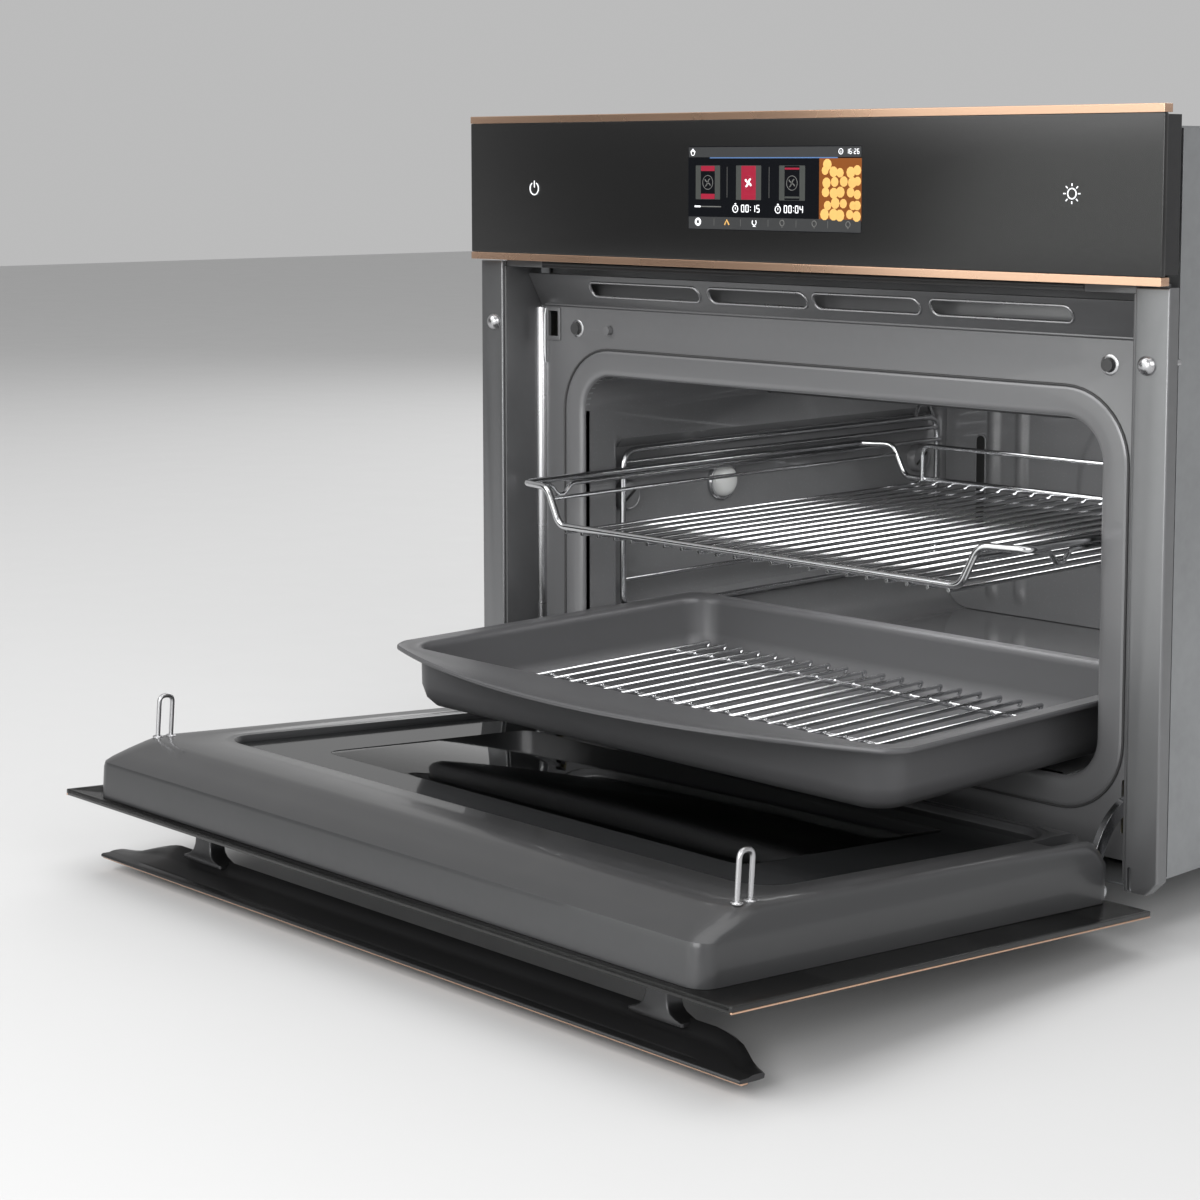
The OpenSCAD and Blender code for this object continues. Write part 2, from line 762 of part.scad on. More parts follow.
// Pressed inner panel: a hollow shell with a seat for the window and slots for the hinge arms.
module door_panel() {
    wall = 1.5;
    mid = (window_z[0] + window_z[1]) / 2;
    color(enamel) on_door() difference() {
        inner_shape(0);
        inner_shape(wall);
        along_y(inner_y - 20, inner_y + 1) translate([0, mid]) round_rect(window_w, window_h, 22);
        both_sides() block([hinge_x - hinge_slot / 2, glass_y + glass_t - 1, 0],
                           [leaf_x + leaf_t + 1, inner_y + 1, 54]);
        both_sides() for (z = hook_z) translate([hook_x, inner_y - 5, z])
            rotate([-90, 0, 0]) cylinder(d = hook_d, h = 10);
    }
}

module door_middle_glass() {
    y = glass_y + 20;
    color([0.1, 0.1, 0.1]) on_door() block([-230, y, 60], [230, y + glass_t, 262]);
}

module door_window() {
    mid = (window_z[0] + window_z[1]) / 2;
    color([0.08, 0.09, 0.09]) on_door()
        along_y(inner_y - window_seat - glass_t, inner_y - window_seat) translate([0, mid])
            round_rect(window_w + 2 * window_lap, window_h + 2 * window_lap, 22 + window_lap);
}

// Two upright wire loops that enter the receivers beside the mouth.
module door_hooks() {
    color(chrome) on_door() both_sides() {
        tip = inner_y + hook_l;
        wire([[hook_x, inner_y - 4, hook_z[0]], [hook_x, tip, hook_z[0]], [hook_x, tip, hook_z[1]],
              [hook_x, inner_y - 4, hook_z[1]]], hook_d);
    }
}

// Hinge leaf inside the panel: an eye on the pin and a plate along the side wall.
module door_leaves() {
    color(zinc) on_door() both_sides() difference() {
        along_x(leaf_x, leaf_x + leaf_t) {
            translate([pivot[1], pivot[2]]) circle(4.2);
            translate([pivot[1] - 2.4, pivot[2]]) square([6.4, 10]);
            translate([pivot[1] - 2.4, pivot[2] + 9]) square([26, 190]);
        }
        translate([leaf_x - 1, pivot[1], pivot[2]]) rotate([0, 90, 0])
            cylinder(d = pin_d + 2 * running, h = leaf_t + 2);
    }
}

// Handle: a flat plate with a raised rib behind it, which the two posts meet.
module handle_bar() {
    y = glass_y - handle_out;
    x = handle_l / 2;
    color([0.2, 0.2, 0.205]) on_door() {
        block([-x, y, handle_z - handle_h / 2], [x, y + 3, handle_z + handle_h / 2]);
        intersection() {
            along_x(-x + 4, x - 4) polygon([
                [y + 3, handle_z - 14], [y + 6, handle_z - 9], [y + 13, handle_z - 7],
                [y + 13, handle_z + 7], [y + 6, handle_z + 9], [y + 3, handle_z + 14]
            ]);
            translate([0, 0, handle_z - 20]) linear_extrude(40) polygon([
                [-x + 4, y + 2], [x - 4, y + 2], [x - 24, y + 13], [-x + 24, y + 13]
            ]);
        }
    }
}

module handle_posts() {
    y = glass_y - handle_out + 13;
    color([0.2, 0.2, 0.205]) on_door() both_sides()
        block([post_gap / 2 - 11, y, handle_z - 7], [post_gap / 2 + 11, glass_y, handle_z + 7]);
}

module handle_trim() {
    y = glass_y - handle_out;
    x = handle_l / 2;
    color(copper) on_door() block([-x, y - 1, handle_z + handle_h / 2 - 5], [x, y, handle_z + handle_h / 2]);
}

// Wire shelf: raised rails at the sides, a lower floor, and a guard along the rear.
module shelf_frame() {
    d = shelf_wire;
    x = shelf_w / 2 - d / 2;
    floor_x = x - 44;
    z = shelf_z;
    low = shelf_z - shelf_drop;
    y = [shelf_front + d / 2, shelf_front + shelf_l - d / 2];
    right = [[floor_x, y[0], low], [floor_x + 14, y[0], z], [x, y[0] + 6, z], [x, y[1], z],
             [floor_x + 24, y[1], z], [floor_x + 8, y[1], low]];
    left = [for (i = [len(right) - 1 : -1 : 0]) [-right[i][0], right[i][1], right[i][2]]];
    guard = floor_x - 10;
    color(chrome) {
        wire(concat(right, left), d, closed = true);
        both_sides() rod([floor_x + 11, y[0], z - 8], [floor_x + 18, y[1], z - 8], 3);
        wire([[-guard, y[1] - 3, low], [-guard, y[1] - 3, z + 2], [guard, y[1] - 3, z + 2],
              [guard, y[1] - 3, low]], d - 1);
    }
}

module shelf_wires() {
    d = 3;
    floor_x = shelf_w / 2 - shelf_wire / 2 - 44;
    low = shelf_z - shelf_drop;
    pitch = 2 * (floor_x - 8) / (shelf_wires_n - 1);
    color(chrome) for (i = [0 : shelf_wires_n - 1])
        rod([-floor_x + 8 + i * pitch, shelf_front - 1, low - shelf_wire / 2 - d / 2 + 0.4],
            [-floor_x + 8 + i * pitch, shelf_front + shelf_l - 1, low - shelf_wire / 2 - d / 2 + 0.4], d);
}

// Outline of the tray's rim, with the bowed lip along the front.
module rim_outline() {
    w = tray_w;
    y = [tray_body_y[0] - 4, tray_front + tray_l];
    bow = y[0] - tray_front;
    half = w / 2;
    r = (half * half + bow * bow) / (2 * bow);
    translate([0, (y[0] + y[1]) / 2]) round_rect(w, y[1] - y[0], 10);
    intersection() {
        translate([0, tray_front + r]) circle(r, $fn = 200);
        translate([-half, tray_front - 1]) square([w, y[0] - tray_front + 20]);
    }
}

module tray_body(g) {
    z = tray_z - tray_h;
    y = [tray_body_y[0] + g, tray_body_y[1] - g];
    w = tray_body_w - 2 * g;
    corner = 22 - g;
    foot = 14 - g;
    mid = (y[0] + y[1]) / 2;
    l = y[1] - y[0];
    translate([0, mid, z + g + foot]) linear_extrude(tray_h) round_rect(w, l, corner);
    intersection() {
        along_x(-w / 2, w / 2) {
            translate([y[0] + foot, z + g]) square([l - 2 * foot, 2 * foot]);
            for (c = [y[0] + foot, y[1] - foot]) translate([c, z + g + foot]) circle(foot);
        }
        along_y(y[0], y[1]) {
            translate([-w / 2 + foot, z + g]) square([w - 2 * foot, 2 * foot]);
            for (c = [-1, 1]) translate([c * (w / 2 - foot), z + g + foot]) circle(foot);
        }
        translate([0, mid, z]) linear_extrude(2 * foot + g) round_rect(w, l, corner);
    }
}

// Deep enamelled tray: a drawn body under a flat rim that bows out in front.
module tray_pan() {
    wall = 1.4;
    color(enamel) difference() {
        union() {
            translate([0, 0, tray_z - tray_rim]) linear_extrude(tray_rim) rim_outline();
            intersection() {
                tray_body(0);
                block([-400, -400, 0], [400, 600, tray_z]);
            }
        }
        tray_body(wall);
    }
}

// Wire insert that stands in the tray.
module tray_grid() {
    d = 3;
    z = tray_z - tray_h + 14;
    x = tray_body_w / 2 - 34;
    y = [tray_body_y[0] + 40, tray_body_y[1] - 26];
    n = 22;
    color(chrome) {
        for (i = [0 : n - 1]) rod([-x + i * 2 * x / (n - 1), y[0], z], [-x + i * 2 * x / (n - 1), y[1], z], d);
        for (c = [y[0] + 62, y[1] - 34]) rod([-x - 6, c, z - 2.6], [x + 6, c, z - 2.6], d);
        for (s = [-1, 1], c = [y[0] + 62, y[1] - 34])
            rod([s * (x + 4), c, z - 2.6], [s * (x + 4), c, tray_z - tray_h + 1.6], d);
    }
}

casing_left();
casing_right();
casing_top();
casing_rear();
casing_base();
face_frame();
cavity_seal();
side_trim_left();
side_trim_right();
cabinet_screws();
vent_deflector();
louvre_strip();
latch_left();
latch_right();
door_buffers();
panel_glass();
panel_trim_top();
panel_trim_bottom();
panel_carrier();
display();
touch_board();
power_board();
terminal_block();
door_switch();
switch_plunger();
cavity_liner();
fan_baffle();
insulation();
convection_fan();
convection_motor();
ring_heater();
grill_element();
bottom_element();
lamp_lens();
lamp_socket();
temperature_probe();
rack_left();
rack_right();
rack_fixings();
cooling_rotor();
cooling_housing();
cooling_motor();
hinge_arm_left();
hinge_arm_right();
hinge_pins();
door_glass();
door_panel();
door_middle_glass();
door_window();
door_hooks();
door_leaves();
handle_bar();
handle_posts();
handle_trim();
shelf_frame();
shelf_wires();
tray_pan();
tray_grid();
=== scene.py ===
"""Looks of the compact wall oven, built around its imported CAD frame."""

from __future__ import annotations

import logging
import math
import random
from dataclasses import dataclass
from enum import Enum
from typing import Callable, Sequence

import bmesh
import bpy
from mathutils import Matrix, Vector

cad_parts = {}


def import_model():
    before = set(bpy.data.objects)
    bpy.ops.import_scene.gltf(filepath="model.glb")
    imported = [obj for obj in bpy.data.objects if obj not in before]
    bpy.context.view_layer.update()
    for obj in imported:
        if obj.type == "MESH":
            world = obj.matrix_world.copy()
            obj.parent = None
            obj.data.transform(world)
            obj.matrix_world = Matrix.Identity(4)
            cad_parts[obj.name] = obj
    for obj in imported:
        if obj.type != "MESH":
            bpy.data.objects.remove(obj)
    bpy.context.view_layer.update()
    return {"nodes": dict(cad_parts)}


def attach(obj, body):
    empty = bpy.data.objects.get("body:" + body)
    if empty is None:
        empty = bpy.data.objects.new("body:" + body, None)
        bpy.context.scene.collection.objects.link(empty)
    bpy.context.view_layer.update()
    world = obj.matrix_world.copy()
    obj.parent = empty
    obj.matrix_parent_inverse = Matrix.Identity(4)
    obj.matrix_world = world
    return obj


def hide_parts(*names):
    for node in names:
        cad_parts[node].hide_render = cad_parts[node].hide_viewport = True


log = logging.getLogger("wall_oven")

MM = 0.001
SIDES = (-1, 1)
Point = tuple[float, float, float]
Flat = tuple[float, float]
FLOAT = "NodeSocketFloat"
CLOUD_SCALE = 14.0
PIVOT = (-12.8, -2.6)
DOOR_ANGLE = math.radians(85.6)


class Axis(Enum):
    """The direction that a flat outline is carried along."""

    X = 0
    Y = 1
    Z = 2


class Body(Enum):
    """The rigid bodies of the oven."""

    OVEN = "oven"
    DOOR = "door"
    SHELF = "shelf"
    TRAY = "tray"


def place(axis: Axis, u: float, v: float, w: float) -> Point:
    """Puts a flat point (u, v) at distance w along an axis."""
    if axis is Axis.X:
        return (w, u, v)
    if axis is Axis.Y:
        return (u, w, v)
    return (u, v, w)


def open_door(p: Point) -> Point:
    """Turns a point of the closed door to where the door rests, open."""
    c, s = math.cos(DOOR_ANGLE), math.sin(DOOR_ANGLE)
    y, z = p[1] - PIVOT[0], p[2] - PIVOT[1]
    return (p[0], PIVOT[0] + y * c - z * s, PIVOT[1] + y * s + z * c)


def turns(n: int) -> list[float]:
    """Angles of n equal steps round a circle."""
    return [2 * math.pi * k / n for k in range(n)]


def round_rect(
        hw: float, hh: float, r: float, cx: float = 0.0, cz: float = 0.0, n: int = 7, sides: int = 1
) -> list[Flat]:
    """Outline of a rectangle with round corners.

    Args:
        hw: half the width.
        hh: half the height.
        r: corner radius.
        cx: centre along the first direction.
        cz: centre along the second direction.
        n: points round each corner.
        sides: pieces that each straight side is cut into.

    Returns:
        The outline's points, going round once.
    """
    r = max(0.05, min(r, hw - 0.01, hh - 0.01))
    corners = []
    for k, (sx, sz) in enumerate(((1, 1), (-1, 1), (-1, -1), (1, -1))):
        mx, mz = cx + sx * (hw - r), cz + sz * (hh - r)
        corners.append([(
            mx + r * math.cos(a), mz + r * math.sin(a)
        ) for a in (math.pi / 2 * (k + i / (n - 1)) for i in range(n))])
    out: list[Flat] = []
    for k in range(4):
        out += corners[k]
        a, b = corners[k][-1], corners[(k + 1) % 4][0]
        out += [(
            a[0] + (b[0] - a[0]) * i / sides, a[1] + (b[1] - a[1]) * i / sides
        ) for i in range(1, sides)]
    return out


def soften(points: Sequence[Point], r: float, n: int = 6, closed: bool = False) -> list[Point]:
    """Rounds the corners of a path.

    Args:
        points: the path's corners.
        r: radius-like distance that each bend takes from its corner.
        n: points in each bend.
        closed: whether the path's end joins its start.

    Returns:
        The path with every inner corner bent.
    """
    out: list[Point] = []
    count = len(points)
    for i, p in enumerate(points):
        if not closed and i in (0, count - 1):
            out.append(p)
            continue
        q, a, b = Vector(p), Vector(points[i - 1]), Vector(points[(i + 1) % count])
        cut = min(r, (a - q).length * 0.48, (b - q).length * 0.48)
        start, end = q + (a - q).normalized() * cut, q + (b - q).normalized() * cut
        for k in range(n + 1):
            t = k / n
            out.append(tuple(start.lerp(q, t).lerp(q.lerp(end, t), t)))
    return out


class Shape:
    """Collects closed solids in millimetres and makes one mesh of them."""

    def __init__(self) -> None:
        """Starts empty."""
        self.points: list[Point] = []
        self.faces: list[tuple[int, ...]] = []

    def add(self, points: Sequence[Point], faces: Sequence[Sequence[int]]) -> "Shape":
        """Adds a solid's points and faces."""
        base = len(self.points)
        self.points += [tuple(p) for p in points]
        self.faces += [tuple(i + base for i in f) for f in faces]
        return self

    def loft(self, rings: Sequence[Sequence[Point]], loop: bool = False) -> "Shape":
        """Skins rings of equal length.

        Args:
            rings: closed rings, in order.
            loop: joins the last ring to the first instead of capping both.

        Returns:
            The shape itself.
        """
        n, m = len(rings[0]), len(rings)
        pts = [p for ring in rings for p in ring]
        faces: list[tuple[int, ...]] = []
        for i in range(m if loop else m - 1):
            j = (i + 1) % m
            faces += [(i * n + k, i * n + (k + 1) % n, j * n + (k + 1) % n, j * n + k) for k in range(n)]
        if not loop:
            faces += [tuple(range(n - 1, -1, -1)), tuple((m - 1) * n + k for k in range(n))]
        return self.add(pts, faces)

    def tube(self, path: Sequence[Point], r: float, sides: int = 12, closed: bool = False) -> "Shape":
        """Sweeps a round section along a path."""
        pts = [Vector(p) for p in path]
        n = len(pts)
        rings: list[list[Point]] = []
        normal = Vector((0, 0, 1))
        for i, p in enumerate(pts):
            before = pts[i - 1] if i or closed else p
            after = pts[(i + 1) % n] if i < n - 1 or closed else p
            t = (after - before).normalized()
            if i == 0 and abs(t.z) > 0.9:
                normal = Vector((1, 0, 0))
            normal = (normal - t * normal.dot(t)).normalized()
            side = t.cross(normal)
            rings.append([tuple(p + (normal * math.cos(a) + side * math.sin(a)) * r) for a in turns(sides)])
        return self.loft(rings, loop=closed)

    def slab(
            self, outline: Sequence[Flat], axis: Axis, lo: float, hi: float, edge: float = 0.5,
            steps: int = 2
    ) -> "Shape":
        """Carries an outline along an axis, with softened edges at both ends.

        Args:
            outline: a simple closed outline.
            axis: direction it is carried along.
            lo: where it starts.
            hi: where it ends.
            edge: radius of the softened edges.
            steps: faces across each softened edge.

        Returns:
            The shape itself.
        """
        n = len(outline)
        area = sum(outline[i - 1][0] * outline[i][1] - outline[i][0] * outline[i - 1][1] for i in range(n))
        sign = 1.0 if area > 0 else -1.0
        pull: list[Flat] = []
        for i, (u, v) in enumerate(outline):
            (a, b), (c, d) = outline[i - 1], outline[(i + 1) % n]
            e1, e2 = Vector((u - a, v - b)).normalized(), Vector((c - u, d - v)).normalized()
            n1, n2 = Vector((-e1.y, e1.x)), Vector((-e2.y, e2.x))
            m = (n1 + n2) * (sign / max(0.35, 1 + n1.dot(n2)))
            pull.append((m.x, m.y))
        rings = []
        for end, way in ((lo, 1), (hi, -1)):
            angles = [math.pi / 2 * k / steps for k in range(steps + 1)]
            for a in angles if way == 1 else reversed(angles):
                inset, w = edge * (1 - math.sin(a)), end + way * edge * (1 - math.cos(a))
                rings.append([
                    place(axis, u + pu * inset, v + pv * inset, w) for (u, v),
                    (pu, pv) in zip(outline, pull)
                ])
        return self.loft(rings)

    def box(self, lo: Point, hi: Point, edge: float = 0.6) -> "Shape":
        """A block with softened edges between two corners."""
        cx, cz = (lo[0] + hi[0]) / 2, (lo[2] + hi[2]) / 2
        outline = round_rect((hi[0] - lo[0]) / 2, (hi[2] - lo[2]) / 2, edge, cx, cz, n=3)
        return self.slab(outline, Axis.Y, lo[1], hi[1], edge)

    def lathe(self, profile: Sequence[Flat], centre: Point, axis: Axis, sides: int = 32) -> "Shape":
        """Turns a profile of (radius, distance) about an axis through a centre, closing it with caps."""
        rings = []
        for r, w in profile:
            r = max(r, 0.02)
            ring = []
            for a in turns(sides):
                p = place(axis, r * math.cos(a), r * math.sin(a), w)
                ring.append((p[0] + centre[0], p[1] + centre[1], p[2] + centre[2]))
            rings.append(ring)
        return self.loft(rings)

    def moved(self, how: Callable[[Point], Point]) -> "Shape":
        """Applies a function to every point."""
        self.points = [how(p) for p in self.points]
        return self

    def build(self, name: str, crease: float = 32.0) -> bpy.types.Object:
        """Makes the mesh object, in metres, with outward faces and smooth shading below the crease angle."""
        mesh = bpy.data.meshes.new(name)
        mesh.from_pydata([tuple(c * MM for c in p) for p in self.points], [], self.faces)
        bm = bmesh.new()
        bm.from_mesh(mesh)
        bmesh.ops.recalc_face_normals(bm, faces=bm.faces)
        bm.to_mesh(mesh)
        bm.free()
        mesh.shade_smooth()
        mesh.set_sharp_from_angle(angle=math.radians(crease))
        obj = bpy.data.objects.new(name, mesh)
        bpy.context.scene.collection.objects.link(obj)
        return obj


def cut(obj: bpy.types.Object, tool: bpy.types.Object, crease: float = 32.0) -> bpy.types.Object:
    """Cuts one closed mesh out of another and keeps the result as a plain mesh."""
    mod = obj.modifiers.new("cut", "BOOLEAN")
    mod.operation, mod.object, mod.solver = "DIFFERENCE", tool, "EXACT"
    graph = bpy.context.evaluated_depsgraph_get()
    mesh = bpy.data.meshes.new_from_object(obj.evaluated_get(graph))
    obj.modifiers.clear()
    obj.data = mesh
    mesh.shade_smooth()
    mesh.set_sharp_from_angle(angle=math.radians(crease))
    bpy.data.objects.remove(tool)
    return obj


# ---------------------------------------------------------------- finishes


class Groups:
    """The shared shader effects, each a node group that is made once."""

    @staticmethod
    def start(name: str, kind: str, inputs: dict[str, str], outputs: dict[str, str]) -> bpy.types.NodeTree:
        """Starts a node group with named and typed inputs and outputs."""
        tree = bpy.data.node_groups.new(name, kind)
        for way, sockets in (("INPUT", inputs), ("OUTPUT", outputs)):
            for key, socket in sockets.items():
                tree.interface.new_socket(name=key, in_out=way, socket_type=socket)
        return tree

    @staticmethod
    def make(tree: bpy.types.NodeTree, *kinds: str) -> list[bpy.types.Node]:
        """Adds one node of each kind."""
        return [tree.nodes.new(kind) for kind in kinds]

    @classmethod
    def grain(cls) -> bpy.types.NodeTree:
        """Cloudy and fine mottling of an enamelled, moulded or rolled surface."""
        if "surface_grain" in bpy.data.node_groups:
            return bpy.data.node_groups["surface_grain"]
        inputs = dict.fromkeys(("Scale", "Stretch"), FLOAT)
        tree = cls.start("surface_grain", "ShaderNodeTree", inputs, dict.fromkeys(("Cloud", "Fine"), FLOAT))
        link = tree.links.new
        enter, leave, coords, scale, combine, cloud, fine = cls.make(
            tree, "NodeGroupInput", "NodeGroupOutput", "ShaderNodeTexCoord", "ShaderNodeVectorMath",
            "ShaderNodeCombineXYZ", "ShaderNodeTexNoise", "ShaderNodeTexNoise")
        scale.operation = "MULTIPLY"
        combine.inputs[1].default_value = combine.inputs[2].default_value = 1.0
        cloud.inputs["Scale"].default_value = CLOUD_SCALE
        link(enter.outputs["Stretch"], combine.inputs[0])
        link(coords.outputs["Object"], scale.inputs[0])
        link(combine.outputs[0], scale.inputs[1])
        link(enter.outputs["Scale"], fine.inputs["Scale"])
        for label, noise in (("Cloud", cloud), ("Fine", fine)):
            noise.inputs["Detail"].default_value = 3.0
            link(scale.outputs[0], noise.inputs["Vector"])
            link(noise.outputs["Fac"], leave.inputs[label])
        return tree

    @classmethod
    def _mask(
            cls, name: str, source: str, low: float, high: float, noise_scale: float
    ) -> bpy.types.NodeTree:
        """A mask from the surface's shape, broken up by noise.

        Args:
            name: the group's name.
            source: "Pointiness" for convex edges or "Normal" for faces that look up.
            low: value where the mask starts.
            high: value where it is full.
            noise_scale: scale of the noise.

        Returns:
            The group, with an Amount input and a Mask output.
        """
        if name in bpy.data.node_groups:
            return bpy.data.node_groups[name]
        tree = cls.start(name, "ShaderNodeTree", {"Amount": FLOAT}, {"Mask": FLOAT})
        link = tree.links.new
        enter, leave, geometry, coords, ramp, noise, both, amount = cls.make(
            tree, "NodeGroupInput", "NodeGroupOutput", "ShaderNodeNewGeometry", "ShaderNodeTexCoord",
            "ShaderNodeMapRange", "ShaderNodeTexNoise", "ShaderNodeMath", "ShaderNodeMath")
        ramp.inputs["From Min"].default_value, ramp.inputs["From Max"].default_value = low, high
        noise.inputs["Scale"].default_value = noise_scale
        both.operation = amount.operation = "MULTIPLY"
        value = geometry.outputs[source]
        if source == "Normal":
            split, = cls.make(tree, "ShaderNodeSeparateXYZ")
            link(value, split.inputs[0])
            value = split.outputs["Z"]
        link(value, ramp.inputs["Value"])
        link(coords.outputs["Object"], noise.inputs["Vector"])
        link(ramp.outputs[0], both.inputs[0])
        link(noise.outputs["Fac"], both.inputs[1])
        link(both.outputs[0], amount.inputs[0])
        link(enter.outputs["Amount"], amount.inputs[1])
        link(amount.outputs[0], leave.inputs["Mask"])
        return tree

    @classmethod
    def wear(cls) -> bpy.types.NodeTree:
        """Rubbed convex edges."""
        return cls._mask("edge_wear", "Pointiness", 0.52, 0.62, 160.0)

    @classmethod
    def dust(cls) -> bpy.types.NodeTree:
        """A faint settled film on faces that look up."""
        return cls._mask("settled_dust", "Normal", 0.6, 1.0, 30.0)


@dataclass(frozen=True)
class Finish:
    """One surface finish, from which a material is made.

    Attributes:
        name: the material's name.
        colour: linear base colour.
        rough: mean roughness.
        metal: metallic value.
        coat: clear coat weight.
        vary: how far cloudiness darkens the colour.
        grain: scale of the fine grain.
        bump: strength of the fine grain as relief.
        stretch: how far the grain is drawn out across X; under 1 makes long streaks.
        wear: how much bare metal shows on edges.
        dust: how much dust lies on faces that look up.
        speck: lightness of sparse specks in the enamel.
        glow: emission strength.
        clear: transmission weight.
        gloss: specular level.
        rounding: radius of the softened shading at edges, in metres.
    """

    name: str
    colour: tuple[float, float, float]
    rough: float = 0.4
    metal: float = 0.0
    coat: float = 0.0
    vary: float = 0.12
    grain: float = 900.0
    bump: float = 0.03
    stretch: float = 1.0
    wear: float = 0.15
    dust: float = 0.03
    speck: float = 0.0
    glow: float = 0.0
    clear: float = 0.0
    gloss: float = 0.5
    rounding: float = 0.0003

    def material(self) -> bpy.types.Material:
        """Makes the node material, or returns the one made before."""
        if self.name in bpy.data.materials:
            return bpy.data.materials[self.name]
        mat = bpy.data.materials.new(self.name)
        mat.use_nodes = True
        mat.diffuse_color = (*self.colour, 1.0)
        nodes, links = mat.node_tree.nodes, mat.node_tree.links
        shader = nodes["Principled BSDF"]
        for key, value in (("Metallic", self.metal), ("Coat Weight", self.coat), ("Coat Roughness", 0.04),
                           ("Transmission Weight", self.clear), ("Specular IOR Level", self.gloss)):
            shader.inputs[key].default_value = value
        grain, wear, dust = (nodes.new("ShaderNodeGroup") for _ in range(3))
        grain.node_tree, wear.node_tree, dust.node_tree = Groups.grain(), Groups.wear(), Groups.dust()
        grain.inputs["Scale"].default_value, grain.inputs["Stretch"].default_value = self.grain, self.stretch
        wear.inputs["Amount"].default_value, dust.inputs["Amount"].default_value = self.wear, self.dust
        colour = self._mix(
            nodes, links, grain.outputs["Cloud"], (*self.colour, 1),
            (*(c * (1 - self.vary * 2) for c in self.colour), 1)
        )
        if self.speck:
            colour = self._specks(nodes, links, colour)
        colour = self._mix(
            nodes, links, wear.outputs["Mask"], colour, (*(min(1, c * 1.6 + 0.05) for c in self.colour), 1)
        )
        colour = self._mix(nodes, links, dust.outputs["Mask"], colour, (0.5, 0.48, 0.45, 1))
        links.new(colour, shader.inputs["Base Color"])
        if self.glow:
            links.new(colour, shader.inputs["Emission Color"])
            shader.inputs["Emission Strength"].default_value = self.glow
        spread = nodes.new("ShaderNodeMapRange")
        spread.inputs["To Min"].default_value = max(0.01, self.rough * 0.82)
        spread.inputs["To Max"].default_value = min(1.0, self.rough * 1.18 + 0.01)
        links.new(grain.outputs["Cloud"], spread.inputs["Value"])
        links.new(spread.outputs[0], shader.inputs["Roughness"])
        soft, relief = nodes.new("ShaderNodeBevel"), nodes.new("ShaderNodeBump")
        soft.inputs["Radius"].default_value = self.rounding
        relief.inputs["Strength"].default_value, relief.inputs["Distance"].default_value = self.bump, 0.0004
        links.new(soft.outputs[0], relief.inputs["Normal"])
        links.new(grain.outputs["Fine"], relief.inputs["Height"])
        links.new(relief.outputs[0], shader.inputs["Normal"])
        return mat

    @staticmethod
    def _mix(
            nodes: bpy.types.Nodes, links: bpy.types.NodeLinks, mask: bpy.types.NodeSocket, a: object,
            b: object
    ) -> bpy.types.NodeSocket:
        """Mixes two colours, each a socket or a plain colour, by a mask."""
        mix = nodes.new("ShaderNodeMix")
        mix.data_type = "RGBA"
        links.new(mask, mix.inputs["Factor"])
        for value, index in ((a, 6), (b, 7)):
            if isinstance(value, bpy.types.NodeSocket):
                links.new(value, mix.inputs[index])
            else:
                mix.inputs[index].default_value = value
        return mix.outputs[2]

    def _specks(
            self, nodes: bpy.types.Nodes, links: bpy.types.NodeLinks, colour: bpy.types.NodeSocket
    ) -> bpy.types.NodeSocket:
        """Adds the fine pale specks of vitreous enamel."""
        coords, cells = nodes.new("ShaderNodeTexCoord"), nodes.new("ShaderNodeTexVoronoi")
        mask = nodes.new("ShaderNodeMapRange")
        cells.inputs["Scale"].default_value = 420.0
        mask.inputs["From Min"].default_value, mask.inputs["From Max"].default_value = 0.16, 0.08
        mask.inputs["To Max"].default_value = self.speck
        links.new(coords.outputs["Object"], cells.inputs["Vector"])
        links.new(cells.outputs["Distance"], mask.inputs["Value"])
        return self._mix(nodes, links, mask.outputs[0], colour, (0.6, 0.6, 0.62, 1))


def _lit(
        name: str, colour: Point, glow: float, rough: float = 0.3, vary: float = 0.12, gloss: float = 0.2
) -> Finish:
    """A finish of the lit display."""
    return Finish(
        "screen_" + name, colour, rough=rough, vary=vary, bump=0.0, wear=0.0, glow=glow, gloss=gloss
    )


